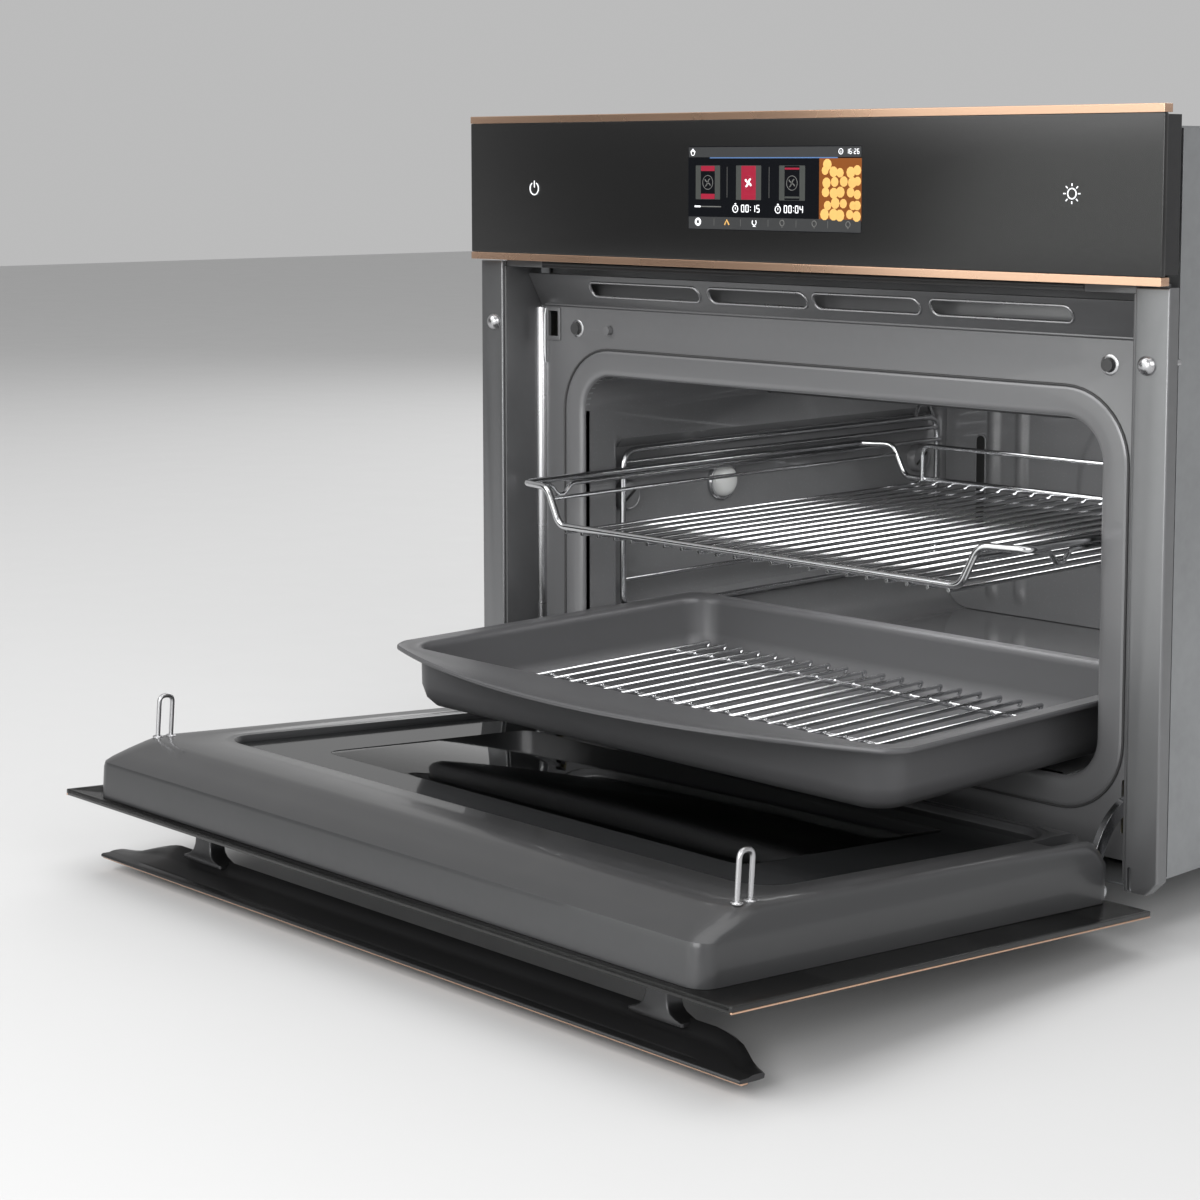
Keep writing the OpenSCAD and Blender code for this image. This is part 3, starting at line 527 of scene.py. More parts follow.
class Finishes:
    """Every finish on the oven."""

    frame = Finish(
        "grey_enamel_front", (0.2, 0.201, 0.206), rough=0.34, metal=0.35, coat=0.3, vary=0.05, bump=0.012
    )
    # painted shade: a darker copy of the grey face enamel, for the side cheeks and the deflector, where the
    # turned and sloped sheet falls into shade
    slope = Finish(
        "grey_enamel_painted_shade", (0.11, 0.111, 0.114), rough=0.36, metal=0.35, coat=0.2, vary=0.05, bump=0.012
    )
    trim = Finish(
        "satin_side_trim", (0.22, 0.222, 0.227), rough=0.34, metal=0.8, grain=1400, bump=0.012, vary=0.04
    )
    enamel = Finish(
        "cavity_enamel", (0.15, 0.151, 0.155), rough=0.24, coat=0.5, vary=0.1, bump=0.025, grain=500,
        speck=0.12
    )
    tray = Finish(
        "tray_enamel", (0.125, 0.126, 0.13), rough=0.2, metal=0.2, coat=0.6, vary=0.07, bump=0.02,
        grain=500, speck=0.08
    )
    door = Finish(
        "door_panel_enamel", (0.05, 0.0505, 0.0525), rough=0.32, metal=0.3, coat=0.25, vary=0.06, bump=0.012
    )
    glass = Finish(
        "black_glass", (0.002, 0.002, 0.0024), rough=0.008, vary=0.1, bump=0.0, wear=0.0, dust=0.0,
        gloss=0.22
    )
    frit = Finish(
        "window_border", (0.012, 0.0125, 0.013), rough=0.07, vary=0.1, bump=0.0, wear=0.0, dust=0.0,
        gloss=0.25
    )
    window = Finish(
        "window_glass", (0.5, 0.53, 0.53), rough=0.03, vary=0.02, bump=0.0, wear=0.0, dust=0.0, clear=1.0,
        gloss=0.3
    )
    copper = Finish(
        "copper_trim", (0.66, 0.43, 0.3), rough=0.27, metal=0.85, grain=1500, bump=0.004, vary=0.02,
        wear=0.0, dust=0.0
    )
    chrome = Finish(
        "bright_chrome", (0.6, 0.605, 0.615), rough=0.17, metal=1.0, grain=1800, bump=0.01, vary=0.03,
        wear=0.0
    )
    steel = Finish("satin_steel", (0.5, 0.5, 0.51), rough=0.27, metal=1.0, grain=1200, bump=0.02, vary=0.06)
    zinc = Finish(
        "galvanised_sheet", (0.40, 0.41, 0.42), rough=0.42, metal=0.9, grain=260, bump=0.05, vary=0.14,
        dust=0.06
    )
    dark = Finish(
        "dark_anodised", (0.06, 0.06, 0.062), rough=0.3, metal=0.8, grain=1500, bump=0.012, vary=0.05
    )
    plastic = Finish("black_moulding", (0.012, 0.012, 0.013), rough=0.45, grain=1600, bump=0.08, vary=0.1)
    rubber = Finish("seal_cord", (0.05, 0.05, 0.051), rough=0.4, grain=1500, bump=0.06, vary=0.1)
    ceramic = Finish("glazed_ceramic", (0.72, 0.7, 0.64), rough=0.3, coat=0.4, grain=700, bump=0.03)
    heater = Finish(
        "oxidised_tube", (0.06, 0.06, 0.062), rough=0.5, metal=0.6, grain=700, bump=0.08, vary=0.2
    )
    wool = Finish("mineral_wool", (0.55, 0.48, 0.25), rough=0.95, grain=240, bump=0.7, vary=0.25)
    board = Finish("circuit_board", (0.02, 0.1, 0.045), rough=0.35, coat=0.3, grain=600, bump=0.04)
    # painted shade: near-black for the rear wall's holes and slots and the caps' slots, standing in for the
    # shade inside them
    painted_shade_black = Finish("painted_shade_void", (0.004, 0.004, 0.004), rough=0.8, grain=500, bump=0.02)
    dome = Finish(
        "lamp_glass", (0.72, 0.73, 0.72), rough=0.14, vary=0.06, bump=0.1, grain=300, clear=0.25, coat=0.5,
        wear=0.0
    )
    screen = _lit("back", (0.006, 0.0065, 0.008), 0.5, rough=0.1)
    bar = _lit("bar", (0.035, 0.036, 0.037), 0.7)
    line = _lit("line", (0.75, 0.76, 0.78), 0.9, vary=0.02, gloss=0.5)
    dim = _lit("dim", (0.12, 0.12, 0.115), 0.6)
    card = _lit("card", (0.045, 0.048, 0.045), 0.8)
    red = _lit("red", (0.24, 0.012, 0.03), 0.8)
    blue = _lit("blue", (0.08, 0.15, 0.30), 0.7)
    gold = _lit("gold", (0.72, 0.42, 0.13), 0.7, vary=0.2)
    crust = _lit("crust", (0.2, 0.06, 0.012), 0.6, vary=0.2)
    floor = Finish("studio_floor", (0.62, 0.62, 0.62), rough=0.7, vary=0.01, bump=0.01, wear=0.0, dust=0.0)
    flag = Finish("black_flag", (0.001, 0.001, 0.001), rough=1.0, bump=0.0, gloss=0.0, dust=0.0, wear=0.0)
    soft = Finish(
        "soft_card", (0.9, 0.92, 0.9), rough=1.0, glow=0.85, bump=0.0, dust=0.0, wear=0.0, vary=0.0
    )


def dress(obj: bpy.types.Object, finish: Finish, body: Body, slot: str, *nodes: str) -> bpy.types.Object:
    """Gives a finished piece its material and body, and hides the CAD nodes it stands for."""
    obj.data.materials.clear()
    obj.data.materials.append(finish.material())
    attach(obj, body.value)
    if nodes:
        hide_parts(*nodes)
    log.info("piece %s: %s on %s", obj.name, finish.name, body.value)
    return obj


class RowTree:
    """Geometry Nodes that repeat a template in a straight row, with a slight random turn."""

    @staticmethod
    def tree() -> bpy.types.NodeTree:
        """Builds the tree once."""
        if "repeat_in_row" in bpy.data.node_groups:
            return bpy.data.node_groups["repeat_in_row"]
        inputs = {"Geometry": "NodeSocketGeometry", "Template": "NodeSocketObject", "Count": "NodeSocketInt",
                  "Start": "NodeSocketVector", "Step": "NodeSocketVector", "Play": FLOAT,
                  "Material": "NodeSocketMaterial"}
        tree = Groups.start("repeat_in_row", "GeometryNodeTree", inputs, {"Geometry": "NodeSocketGeometry"})
        link = tree.links.new
        enter, leave, line, info, spread, copies, solid, paint, low, turn = Groups.make(
            tree, "NodeGroupInput", "NodeGroupOutput", "GeometryNodeMeshLine", "GeometryNodeObjectInfo",
            "FunctionNodeRandomValue", "GeometryNodeInstanceOnPoints", "GeometryNodeRealizeInstances",
            "GeometryNodeSetMaterial", "ShaderNodeMath", "ShaderNodeCombineXYZ")
        spread.data_type = "FLOAT"
        low.operation = "MULTIPLY"
        low.inputs[1].default_value = -1.0
        for socket in spread.inputs:
            if socket.name == "Seed":
                socket.default_value = 7
        given = enter.outputs
        for key, socket in (("Count", "Count"), ("Start", "Start Location"), ("Step", "Offset")):
            link(given[key], line.inputs[socket])
        link(given["Template"], info.inputs["Object"])
        least, most = (s for s in spread.inputs if s.type == "VALUE" and s.name in ("Min", "Max"))
        link(given["Play"], low.inputs[0])
        link(low.outputs[0], least)
        link(given["Play"], most)
        link(next(s for s in spread.outputs if s.type == "VALUE"), turn.inputs[1])
        link(line.outputs["Mesh"], copies.inputs["Points"])
        link(info.outputs["Geometry"], copies.inputs["Instance"])
        link(turn.outputs[0], copies.inputs["Rotation"])
        link(copies.outputs[0], solid.inputs[0])
        link(solid.outputs[0], paint.inputs["Geometry"])
        link(given["Material"], paint.inputs["Material"])
        link(paint.outputs[0], leave.inputs[0])
        return tree

    @classmethod
    def row(
            cls, name: str, template: bpy.types.Object, count: int, start: Point, step: Point,
            finish: Finish, play: float = 0.0
    ) -> bpy.types.Object:
        """Repeats a template and keeps the result as a plain mesh.

        Args:
            name: the new piece's name.
            template: a mesh object round the origin, which is removed afterwards.
            count: how many copies.
            start: place of the first, in millimetres.
            step: from each to the next, in millimetres.
            finish: finish of the copies.
            play: the largest random turn about Y, in radians.

        Returns:
            The new object.
        """
        host = bpy.data.objects.new(name, bpy.data.meshes.new(name))
        bpy.context.scene.collection.objects.link(host)
        mod = host.modifiers.new("row", "NODES")
        mod.node_group = cls.tree()
        values = {
            "Template": template, "Count": count, "Start": [c * MM for c in start],
            "Step": [c * MM for c in step], "Play": play, "Material": finish.material()
        }
        for item in mod.node_group.interface.items_tree:
            if item.item_type == "SOCKET" and item.in_out == "INPUT" and item.name in values:
                mod[item.identifier] = values[item.name]
        graph = bpy.context.evaluated_depsgraph_get()
        mesh = bpy.data.meshes.new_from_object(host.evaluated_get(graph))
        host.modifiers.clear()
        host.data = mesh
        mesh.shade_smooth()
        mesh.set_sharp_from_angle(angle=math.radians(35))
        bpy.data.objects.remove(template)
        return host


# ---------------------------------------------------------------- sub-assemblies


@dataclass
class Studio:
    """Floor, lights and camera.

    Attributes:
        eye: camera place in metres.
        heading: degrees that the view is turned from +Y towards -X.
        fall: degrees that the view looks down.
        lens: focal length in millimetres.
        shift: lens shift across and up.
        floor_z: height of the floor in metres.
    """

    eye: Point = (1.1091, -1.2256, 0.4263)
    heading: float = 45.693
    fall: float = 6.09
    lens: float = 75.55
    shift: Flat = (-0.03, -0.14)
    floor_z: float = -0.0335

    def build(self) -> None:
        """Makes the whole studio."""
        self._camera()
        self._floor()
        world = bpy.data.worlds.new("studio")
        world.use_nodes = True
        world.node_tree.nodes["Background"].inputs["Color"].default_value = (1.0, 1.0, 1.0, 1)
        world.node_tree.nodes["Background"].inputs["Strength"].default_value = 0.5
        bpy.context.scene.world = world
        self._light("key", (-1.2, -2.6, 2.6), (0.0, -0.1, 0.1), 2.4, 60.0)
        self._light("side", (2.9, -0.9, 1.5), (0.1, 0.1, 0.2), 1.8, 32.0)
        self._light("top", (0.2, 0.1, 3.2), (0.0, 0.1, 0.2), 2.6, 34.0)
        self._light("rear", (-1.8, 2.6, 2.0), (0.0, 0.4, 0.2), 2.0, 30.0)
        self._light("fill", (0.75, -1.9, 0.75), (0.0, 0.25, 0.15), 1.0, 20.0)
        self._light("inside", (0.0, 0.2, 0.245), (0.0, 0.26, 0.0), 0.28, 1.1)
        self._card("dark_card", [(-4.2, -0.6), (-0.645, -0.6), (-1.14, 1.0), (-4.2, 1.6)], Finishes.flag)
        self._card("light_card", [(-0.645, -0.6), (0.2, -0.6), (0.2, 1.0), (-1.14, 1.0)], Finishes.soft)
        bpy.context.scene.view_settings.view_transform = "Standard"

    def _camera(self) -> None:
        """Sets the camera."""
        data = bpy.data.cameras.new("camera")
        data.lens, data.sensor_width = self.lens, 36.0
        data.shift_x, data.shift_y = self.shift
        data.clip_start, data.clip_end = 0.01, 60.0
        cam = bpy.data.objects.new("camera", data)
        cam.location = self.eye
        cam.rotation_euler = (math.radians(90 - self.fall), 0.0, math.radians(self.heading))
        bpy.context.scene.collection.objects.link(cam)
        bpy.context.scene.camera = cam

    def _floor(self) -> None:
        """Makes the pale floor."""
        z = self.floor_z / MM
        reach = 9000
        corners = ((-reach, -reach), (reach, -reach), (reach, reach), (-reach, reach))
        floor = Shape().loft([[(x, y, z - d) for x, y in corners] for d in (20, 0)]).build("floor")
        floor.data.materials.append(Finishes.floor.material())

    @staticmethod
    def _card(name: str, corners: list[Flat], finish: Finish) -> None:
        """Stands a card in front of the oven that only reflections see."""
        card = Shape().loft([[(x / MM, y, z / MM) for x, z in corners] for y in (-1500, -1504)]).build(name)
        card.data.materials.append(finish.material())
        card.visible_camera = card.visible_diffuse = card.visible_shadow = card.visible_transmission = False

    @staticmethod
    def _light(name: str, at: Point, to: Point, size: float, power: float) -> None:
        """Adds one soft square light that looks at a point."""
        data = bpy.data.lights.new(name, "AREA")
        data.size, data.energy = size, power
        lamp = bpy.data.objects.new(name, data)
        lamp.location = at
        lamp.visible_camera = False
        lamp.rotation_euler = (Vector(to) - Vector(at)).to_track_quat("-Z", "Y").to_euler()
        bpy.context.scene.collection.objects.link(lamp)


@dataclass
class Front:
    """Face round the mouth with its band, cheeks, side trims, deflector and small fittings.

    Attributes:
        mouth: half width, half height, corner radius and centre height of the mouth.
        face: depth of the flat face.
        column: inner edge of the side trims.
        half: half the front's width.
    """

    mouth: tuple[float, float, float, float] = (228.0, 111.0, 27.0, 162.0)
    face: float = 26.0
    column: float = 275.0
    half: float = 298.5

    def build(self) -> None:
        """Makes and dresses every piece."""
        self._face()
        self._seal()
        self._cheeks()
        self._trims()
        self._deflector()
        self._latches()
        self._screws()

    def _ring(self, grow: float, y: float) -> list[Point]:
        """The mouth's outline grown by a distance, at a depth."""
        hw, hh, r, cz = self.mouth
        return [(x, y, z) for x, z in round_rect(hw + grow, hh + grow, r + grow, 0, cz, n=12)]

    def _face(self) -> None:
        """The pressed face: flat border, raised band and a rolled edge into the mouth."""
        f = self.face

        def edge(d: float, y: float) -> list[Point]:
            """The face's outer outline drawn in by a distance, at a depth."""
            return [(x, y, z) for x, z in round_rect(274.3 - d, 158 - d, 2, 0, 164, n=12)]

        profile = [
            (19.2, f), (18.4, f - 0.25), (17.6, f - 0.85), (16.6, f - 1), (5.0, f - 1), (2.6, f - 0.8),
            (1.1, f - 0.1), (0.3, f + 0.9), (0.0, f + 2.4), (0.0, f + 6)
        ]
        rings = [edge(0, f + 1.5), edge(0, f + 0.4), edge(0.4, f)] + [self._ring(g, y) for g, y in profile]
        rings += [self._ring(1.2, f + 6), self._ring(1.4, f + 1.5)]
        face = Shape().loft(rings, loop=True).build("face_round_mouth")
        tool = Shape()
        for s in SIDES:
            tool.slab(round_rect(5.6, 9.6, 1.0, s * 259, 309.2), Axis.Y, f - 4, f + 4, 0.1)
            tool.slab(round_rect(6, 17, 2, s * 253, 39), Axis.Y, f - 4, f + 4, 0.1)
        for x, r in ((232.5, 4.1), (-234, 4.1), (-200, 3.3)):
            tool.slab(round_rect(r, r, r - 0.05, x, 306.5), Axis.Y, f - 4, f + 4, 0.1)
        dress(cut(face, tool.build("tool")), Finishes.frame, Body.OVEN, "steel", "face_frame")

    def _seal(self) -> None:
        """The fine dark cord that frames the raised band."""
        f = self.face
        cord = Shape().tube([(x, f - 0.5, z) for x, _, z in self._ring(19.6, 0)], 0.85, 10, closed=True)
        dress(cord.build("seal_round_band"), Finishes.rubber, Body.OVEN, "rubber", "cavity_seal")

    def _cheeks(self) -> None:
        """Side cheeks between face and trims, each with a round bead where it meets the face."""
        shape, beads = Shape(), Shape()
        for s in SIDES:
            shape.box(
                (min(s * 272.9, s * 274.6), -9.3, 6), (max(s * 272.9, s * 274.6), self.face, 352), 0.3
            )
            angles = [math.pi / 2 * k / 6 for k in range(7)]
            quarter = [(273.2, 25.9)] + [(
                273.2 - 5.0 * math.cos(a), 25.9 - 5.0 * math.sin(a)
            ) for a in angles]
            beads.slab([(s * x, y) for x, y in quarter], Axis.Z, 8, 321, 0.2)
            shape.box(
                (min(s * 236.5, s * 274.6), -7, 351.7), (max(s * 236.5, s * 274.6), self.face, 356.4), 0.3
            )
        # painted shade: the cheeks take the darker copy of the face enamel
        dress(shape.build("side_cheeks"), Finishes.slope, Body.OVEN, "steel")
        dress(beads.build("corner_beads"), Finishes.steel, Body.OVEN, "steel")

    def _trims(self) -> None:
        """Outer side trims with a soft front edge and a cut lower corner."""
        for s, node in ((-1, "side_trim_left"), (1, "side_trim_right")):
            outline = [
                (s * self.column, 0.3), (s * 290, 0.3), (s * (self.half - 0.2), 8.5),
                (s * (self.half - 0.2), 355.8), (s * self.column, 355.8)
            ]
            trim = Shape().slab(outline, Axis.Y, -11, -0.6, 1.3, 4).build(node.replace("_trim", "_cover"))
            tool = Shape().slab(round_rect(2.9, 2.9, 2.85, s * 284, 311), Axis.Y, -14, 3, 0.1)
            tool.slab(round_rect(1.6, 7.5, 1.5, s * 279, 8), Axis.Y, -13, -8, 0.1)
            dress(cut(trim, tool.build("tool")), Finishes.trim, Body.OVEN, "steel", node)

    def _latches(self) -> None:
        """Receiver plates with a wide hole, a fold in bright chrome as a painted highlight and a tab with a
        screw.
        """
        edges, f = Shape(), self.face
        for s, node in ((-1, "latch_left"), (1, "latch_right")):
            plate = Shape().slab(
                round_rect(7.6, 12.2, 1.5, s * 259.5, 309.0), Axis.Y, f - 1.4, f - 0.1, 0.4
            )
            plate.slab(round_rect(5.2, 8.5, 3.0, s * 259.5, 291.5), Axis.Y, f - 1.3, f - 0.1, 0.4)
            plate.lathe(
                [(0.0, f - 2.6), (1.8, f - 2.6), (2.9, f - 2.0), (3.0, f - 0.5), (0.0, f - 0.5)],
                (s * 259.5, 0, 290.5), Axis.Y, 20
            )
            tool = Shape().slab(round_rect(5.2, 9.2, 0.8, s * 259.2, 309.2), Axis.Y, f - 4, f + 2, 0.1)
            dress(
                cut(plate.build(node + "_plate"), tool.build("tool")), Finishes.frame, Body.OVEN, "zinc",
                node
            )
            # painted highlight: each fold is a chrome tube brighter than its plate, standing in for the
            # light on the plate's edge
            fold = [(s * 267.0, f - d, z) for d, z in ((1.2, 280), (1.9, 285), (1.9, 316), (1.2, 320))]
            edges.tube(soften(fold, 3.0, 4), 0.9, 8)
        dress(edges.build("latch_bright_edges"), Finishes.chrome, Body.OVEN, "chrome")

    def _deflector(self) -> None:
        """Sloped deflector with four rolled slots for the cooling air."""
        start, end, t = Vector((0, 25.7, 322)), Vector((0, 12.3, 346)), 1.4
        way = (end - start).normalized()
        out = Vector((0, -way.z, way.y))

        def lay(p: Point) -> Point:
            """Lays a flat point on the slope."""
            return tuple(Vector((p[0], 0, 0)) + start + way * p[1] + out * p[2])

        length = (end - start).length
        outline = [(-272.4, 0), (272.4, 0), (272.4, length), (-272.4, length)]
        plate = Shape().slab(outline, Axis.Z, -t, 0, 0.3).moved(lay).build("air_deflector")
        tool, rims = Shape(), Shape()
        for a, b in ((-211, -102), (-93, -3), (3, 93), (102, 211)):
            slot = round_rect((b - a) / 2, 6.0, 5.4, (a + b) / 2, 16.2, n=9)
            tool.slab(slot, Axis.Z, -6, 6, 0.1)
            rims.tube([(u, v, 0.1) for u, v in slot], 1.0, 8, closed=True)
        cut(plate, tool.moved(lay).build("tool"))
        # painted shade: the deflector takes the darker copy of the face enamel
        dress(plate, Finishes.slope, Body.OVEN, "steel", "vent_deflector")
        duct = Shape().box((-268, 32.5, 323), (268, 33.7, 352), 0.3).box(
            (-268, 24.6, 322.6), (268, 33.6, 323.8), 0.3
        )
        dress(duct.build("duct_behind_slots"), Finishes.frame, Body.OVEN, "steel")
        dress(rims.moved(lay).build("rolled_slot_rims"), Finishes.steel, Body.OVEN, "steel")
        strip = Shape().box((-236, -7, 353.7), (236, 10, 355.7), 0.5)
        for k in range(5):
            strip.box((-236, -6.6 + k * 3.4, 351.6), (236, -5.4 + k * 3.4, 354.2), 0.3)
        dress(strip.build("louvre_under_panel"), Finishes.plastic, Body.OVEN, "plastic", "louvre_strip")

    def _screws(self) -> None:
        """Domed heads of the cabinet screws and the rings round the buffers."""
        shape = Shape()
        for x in (-284, 284):
            shape.lathe(
                [
                    (1.0, -11.02), (5.6, -11.02), (5.8, -11.9), (5.0, -13.6), (3.4, -14.9), (1.6, -15.5),
                    (0.0, -15.6)
                ],
                (x, 0, 311), Axis.Y
            )
        for x in (-234, 232.5):
            shape.lathe(
                [(4.2, 26.2), (6.4, 26.2), (6.4, 25.7), (5.6, 25.3), (4.2, 25.3)], (x, 0, 306.5), Axis.Y
            )
        dress(shape.build("fitting_rings"), Finishes.steel, Body.OVEN, "steel")


@dataclass
class ControlPanel:
    """Black glass with copper trims, a lit display and two touch marks.

    Attributes:
        half: half the width.
        low: lower edge of the panel.
        high: upper edge of the panel.
        glass: depth of the glass face.
        trim: height of each trim.
    """

    half: float = 298.5
    low: float = 357.0
    high: float = 460.0
    glass: float = -20.0
    trim: float = 5.0

    def build(self) -> None:
        """Makes and dresses every piece."""
        g = self.glass
        face = Shape().box(
            (-self.half, g, self.low + self.trim + 0.1), (self.half, g + 4, self.high - self.trim - 0.1),
            0.7
        )
        dress(face.build("control_glass"), Finishes.glass, Body.OVEN, "black_glass", "panel_glass")
        for node, z in (("panel_trim_top", self.high - self.trim), ("panel_trim_bottom", self.low)):
            outline = [
                (g - 0.4, z), (g + 8, z), (g + 8, z + self.trim), (g - 0.1, z + self.trim),
                (g - 0.4, z + self.trim - 0.4)
            ]
            bar = Shape().slab(outline, Axis.X, -self.half, self.half, 0.5)
            dress(
                bar.build(node.replace("panel_trim", "copper_edge")), Finishes.copper, Body.OVEN, "copper",
                node
            )
        self._display()
        self._marks()

    def _tile(
            self, shape: Shape, x: float, z: float, w: float, h: float, lift: float, r: float = 1.0
    ) -> None:
        """Adds one thin round-cornered tile in front of the glass."""
        shape.slab(
            round_rect(w / 2, h / 2, min(r, w / 2 - 0.02, h / 2 - 0.02), x, z, n=4), Axis.Y,
            self.glass - lift, self.glass + 0.05, 0.02, 1
        )

    def _ring_mark(
            self, shape: Shape, x: float, z: float, r: float, t: float = 0.35, gap: float = 0.0
    ) -> None:
        """Adds a thin ring or open ring drawn as a flat tube."""
        n = 28
        angles = [gap / 2 + (2 * math.pi - gap) * k / (n - 1 if gap else n) + math.pi / 2 for k in range(n)]
        path = [(x + r * math.cos(a), self.glass - 0.12, z + r * math.sin(a)) for a in angles]
        shape.tube(path, t, 6, closed=not gap)

    def _display(self) -> None:
        """The display: a clock, three cards, two timers, a picture of roast slices and a row of icons."""
        back, bar, card, red, line, dim, blue, gold, crust = (Shape() for _ in range(9))
        self._tile(back, 0, 410, 152, 55, 0.04, 1.5)
        self._tile(bar, 0, 433.6, 151, 6.6, 0.08, 0.5)
        self._tile(bar, 0, 387.0, 151, 8.0, 0.08, 0.5)
        self._tile(blue, 0, 429.9, 112, 0.7, 0.12, 0.2)
        for k, x in enumerate((-57.8, -20.9, 17.3)):
            lit = k == 1
            self._tile(card, x, 413.7, 22.4, 22.4, 0.08, 0.5)
            self._tile(red if lit else back, x, 413.7, 13.0, 22.0, 0.12, 0.5)
            for dz in (-9.2, 9.2):
                self._tile(
                    card if k == 2 and dz < 0 else red, x, 413.7 + dz, 12.6, 3.4 if k < 2 else 1.2, 0.16,
                    0.4
                )
            mark = line if lit else dim
            self._ring_mark(red if lit else dim, x, 413.7, 4.6, 0.25)
            for n in range(4):
                a = math.radians(45 + 90 * n)
                blade = ((0.5, 0.0), (1.9, 0.3), (3.2, 0.1))
                path = [
                    (x + r * math.cos(a + w), self.glass - 0.2, 413.7 + r * math.sin(a + w))
                    for r, w in blade
                ]
                mark.tube(path, 0.7 if lit else 0.4, 6)
        for x in (-40.2, -2.7):
            self._tile(dim, x, 414, 0.3, 20, 0.1, 0.1)
        self._tile(dim, -57.8, 397.8, 24.5, 0.7, 0.12, 0.3)
        self._tile(line, -67.2, 397.8, 5.6, 1.1, 0.16, 0.4)
        for x, text in ((-32.6, "00:15"), (5.2, "00:04")):
            self._ring_mark(line, x, 396.6, 2.3, 0.32)
            self._tile(line, x, 399.9, 1.4, 0.8, 0.14, 0.2)
            self._tile(line, x, 396.9, 0.6, 1.6, 0.14, 0.2)
            self._digits(line, text, x + 6.6, 396.9, 2.9, 5.0)
        self._ring_mark(line, 58.6, 433.8, 1.7, 0.25)
        self._tile(line, 58.6, 433.6, 0.5, 1.6, 0.14, 0.2)
        self._digits(line, "16:26", 64.0, 433.8, 1.9, 3.4)
        self._ring_mark(line, -71.6, 433.0, 1.5, 0.3)
        roof = [(x, self.glass - 0.12, z) for x, z in ((-73.8, 433.6), (-71.6, 435.8), (-69.4, 433.6))]
        line.tube(roof, 0.3, 6)
        self._icons(line, dim, gold)
        self._tile(crust, 58.2, 409.9, 35.4, 39.4, 0.07, 0.4)
        rng = random.Random(5)
        for k in range(26):
            x = 45 + (k % 5) * 7.0 + (k // 5) % 2 * 2.6 + rng.uniform(-1.0, 1.0)
            z = 393.6 + (k // 5) * 6.9 + rng.uniform(-0.9, 0.9)
            r = rng.uniform(2.9, 3.9)
            x, z = min(max(x, 41.0 + r), 75.5 - r), min(z, 429.2 - r)
            gold.lathe(
                [(r, self.glass + 0.02), (r, self.glass - 0.1), (r * 0.7, self.glass - 0.17)], (x, 0, z),
                Axis.Y, 10
            )
        pieces = (
            ("back", back, Finishes.screen), ("bars", bar, Finishes.bar), ("cards", card, Finishes.card),
            (
                "card_tabs", red, Finishes.red
            ), ("lines", line, Finishes.line), ("dim_lines", dim, Finishes.dim),
            ("rule", blue, Finishes.blue), ("slices", gold, Finishes.gold), (
                "crust", crust, Finishes.crust
            ),
        )
        for name, shape, finish in pieces:
            dress(shape.build("display_" + name), finish, Body.OVEN, "screen")

    def _icons(self, line: Shape, dim: Shape, gold: Shape) -> None:
        """The icons along the display's lower edge."""
        z = 387.6
        self._ring_mark(line, -66.7, z, 2.0, 0.75)
        peak = [(x, self.glass - 0.14, z + d) for x, d in ((-42.2, -1.6), (-40.2, 1.6), (-38.2, -1.6))]
        gold.tube(peak, 0.5, 6)
        for x, target in ((-15.6, line), (8.9, dim), (36.6, dim), (65.0, dim)):
            self._ring_mark(target, x, z + 0.4, 1.8, 0.32, gap=1.6 if x < 0 else 0.0)
            self._tile(target, x, z - 2.2, 2.6 if x < 0 else 1.2, 0.5, 0.14, 0.2)
        for x in (-52.0, -28.0, -3.4, 21.0, 48.0):
            self._tile(dim, x, z, 0.3, 4.6, 0.12, 0.1)

    def _digits(self, shape: Shape, text: str, x: float, z: float, w: float, h: float) -> None:
        """Adds a clock reading made of small bars.

        Args:
            shape: where the bars go.
            text: digits and colons.
            x: middle of the first digit.
            z: middle of the line.
            w: width of a digit.
            h: height of a digit.
        """
        bars = {
            "t": (0, 1), "m": (0, 0), "b": (0, -1), "tl": (-1, 0.5), "tr": (1, 0.5), "bl": (-1, -0.5),
            "br": (1, -0.5)
        }
        shown = {
            "0": "t tl tr bl br b", "1": "tr br", "2": "t tr m bl b", "4": "tl tr m br", "5": "t tl m br b",
            "6": "t tl m bl br b"
        }
        thick = h * 0.13
        for digit in text:
            if digit == ":":
                x -= w * 0.3
                for dz in (-0.2, 0.2):
                    self._tile(shape, x, z + dz * h, thick, thick, 0.14, thick * 0.4)
                x += w * 0.95
                continue
            for key in shown[digit].split():
                dx, dz = bars[key]
                wide, tall = (w - thick, thick) if dx == 0 else (thick, (h - thick) / 2)
                cx, cz = x + dx * (w - thick) / 2, z + dz * (h - thick) / 2
                self._tile(shape, cx, cz, wide, tall, 0.14, thick * 0.4)
            x += w * 1.35

    def _marks(self) -> None:
        """The on-off mark at the left and the light mark at the right."""
        shape = Shape()
        self._ring_mark(shape, -229.5, 408.5, 4.4, 0.42, gap=1.1)
        self._tile(shape, -229.5, 411.6, 0.9, 5.0, 0.12, 0.4)
        self._ring_mark(shape, 236, 408.8, 3.0, 0.4)
        for k in range(8):
            a = math.pi / 4 * k
            ray = [(236 + r * math.cos(a), self.glass - 0.12, 408.8 + r * math.sin(a)) for r in (4.4, 6.0)]
            shape.tube(ray, 0.38, 6)
        dress(shape.build("touch_marks"), Finishes.line, Body.OVEN, "screen")


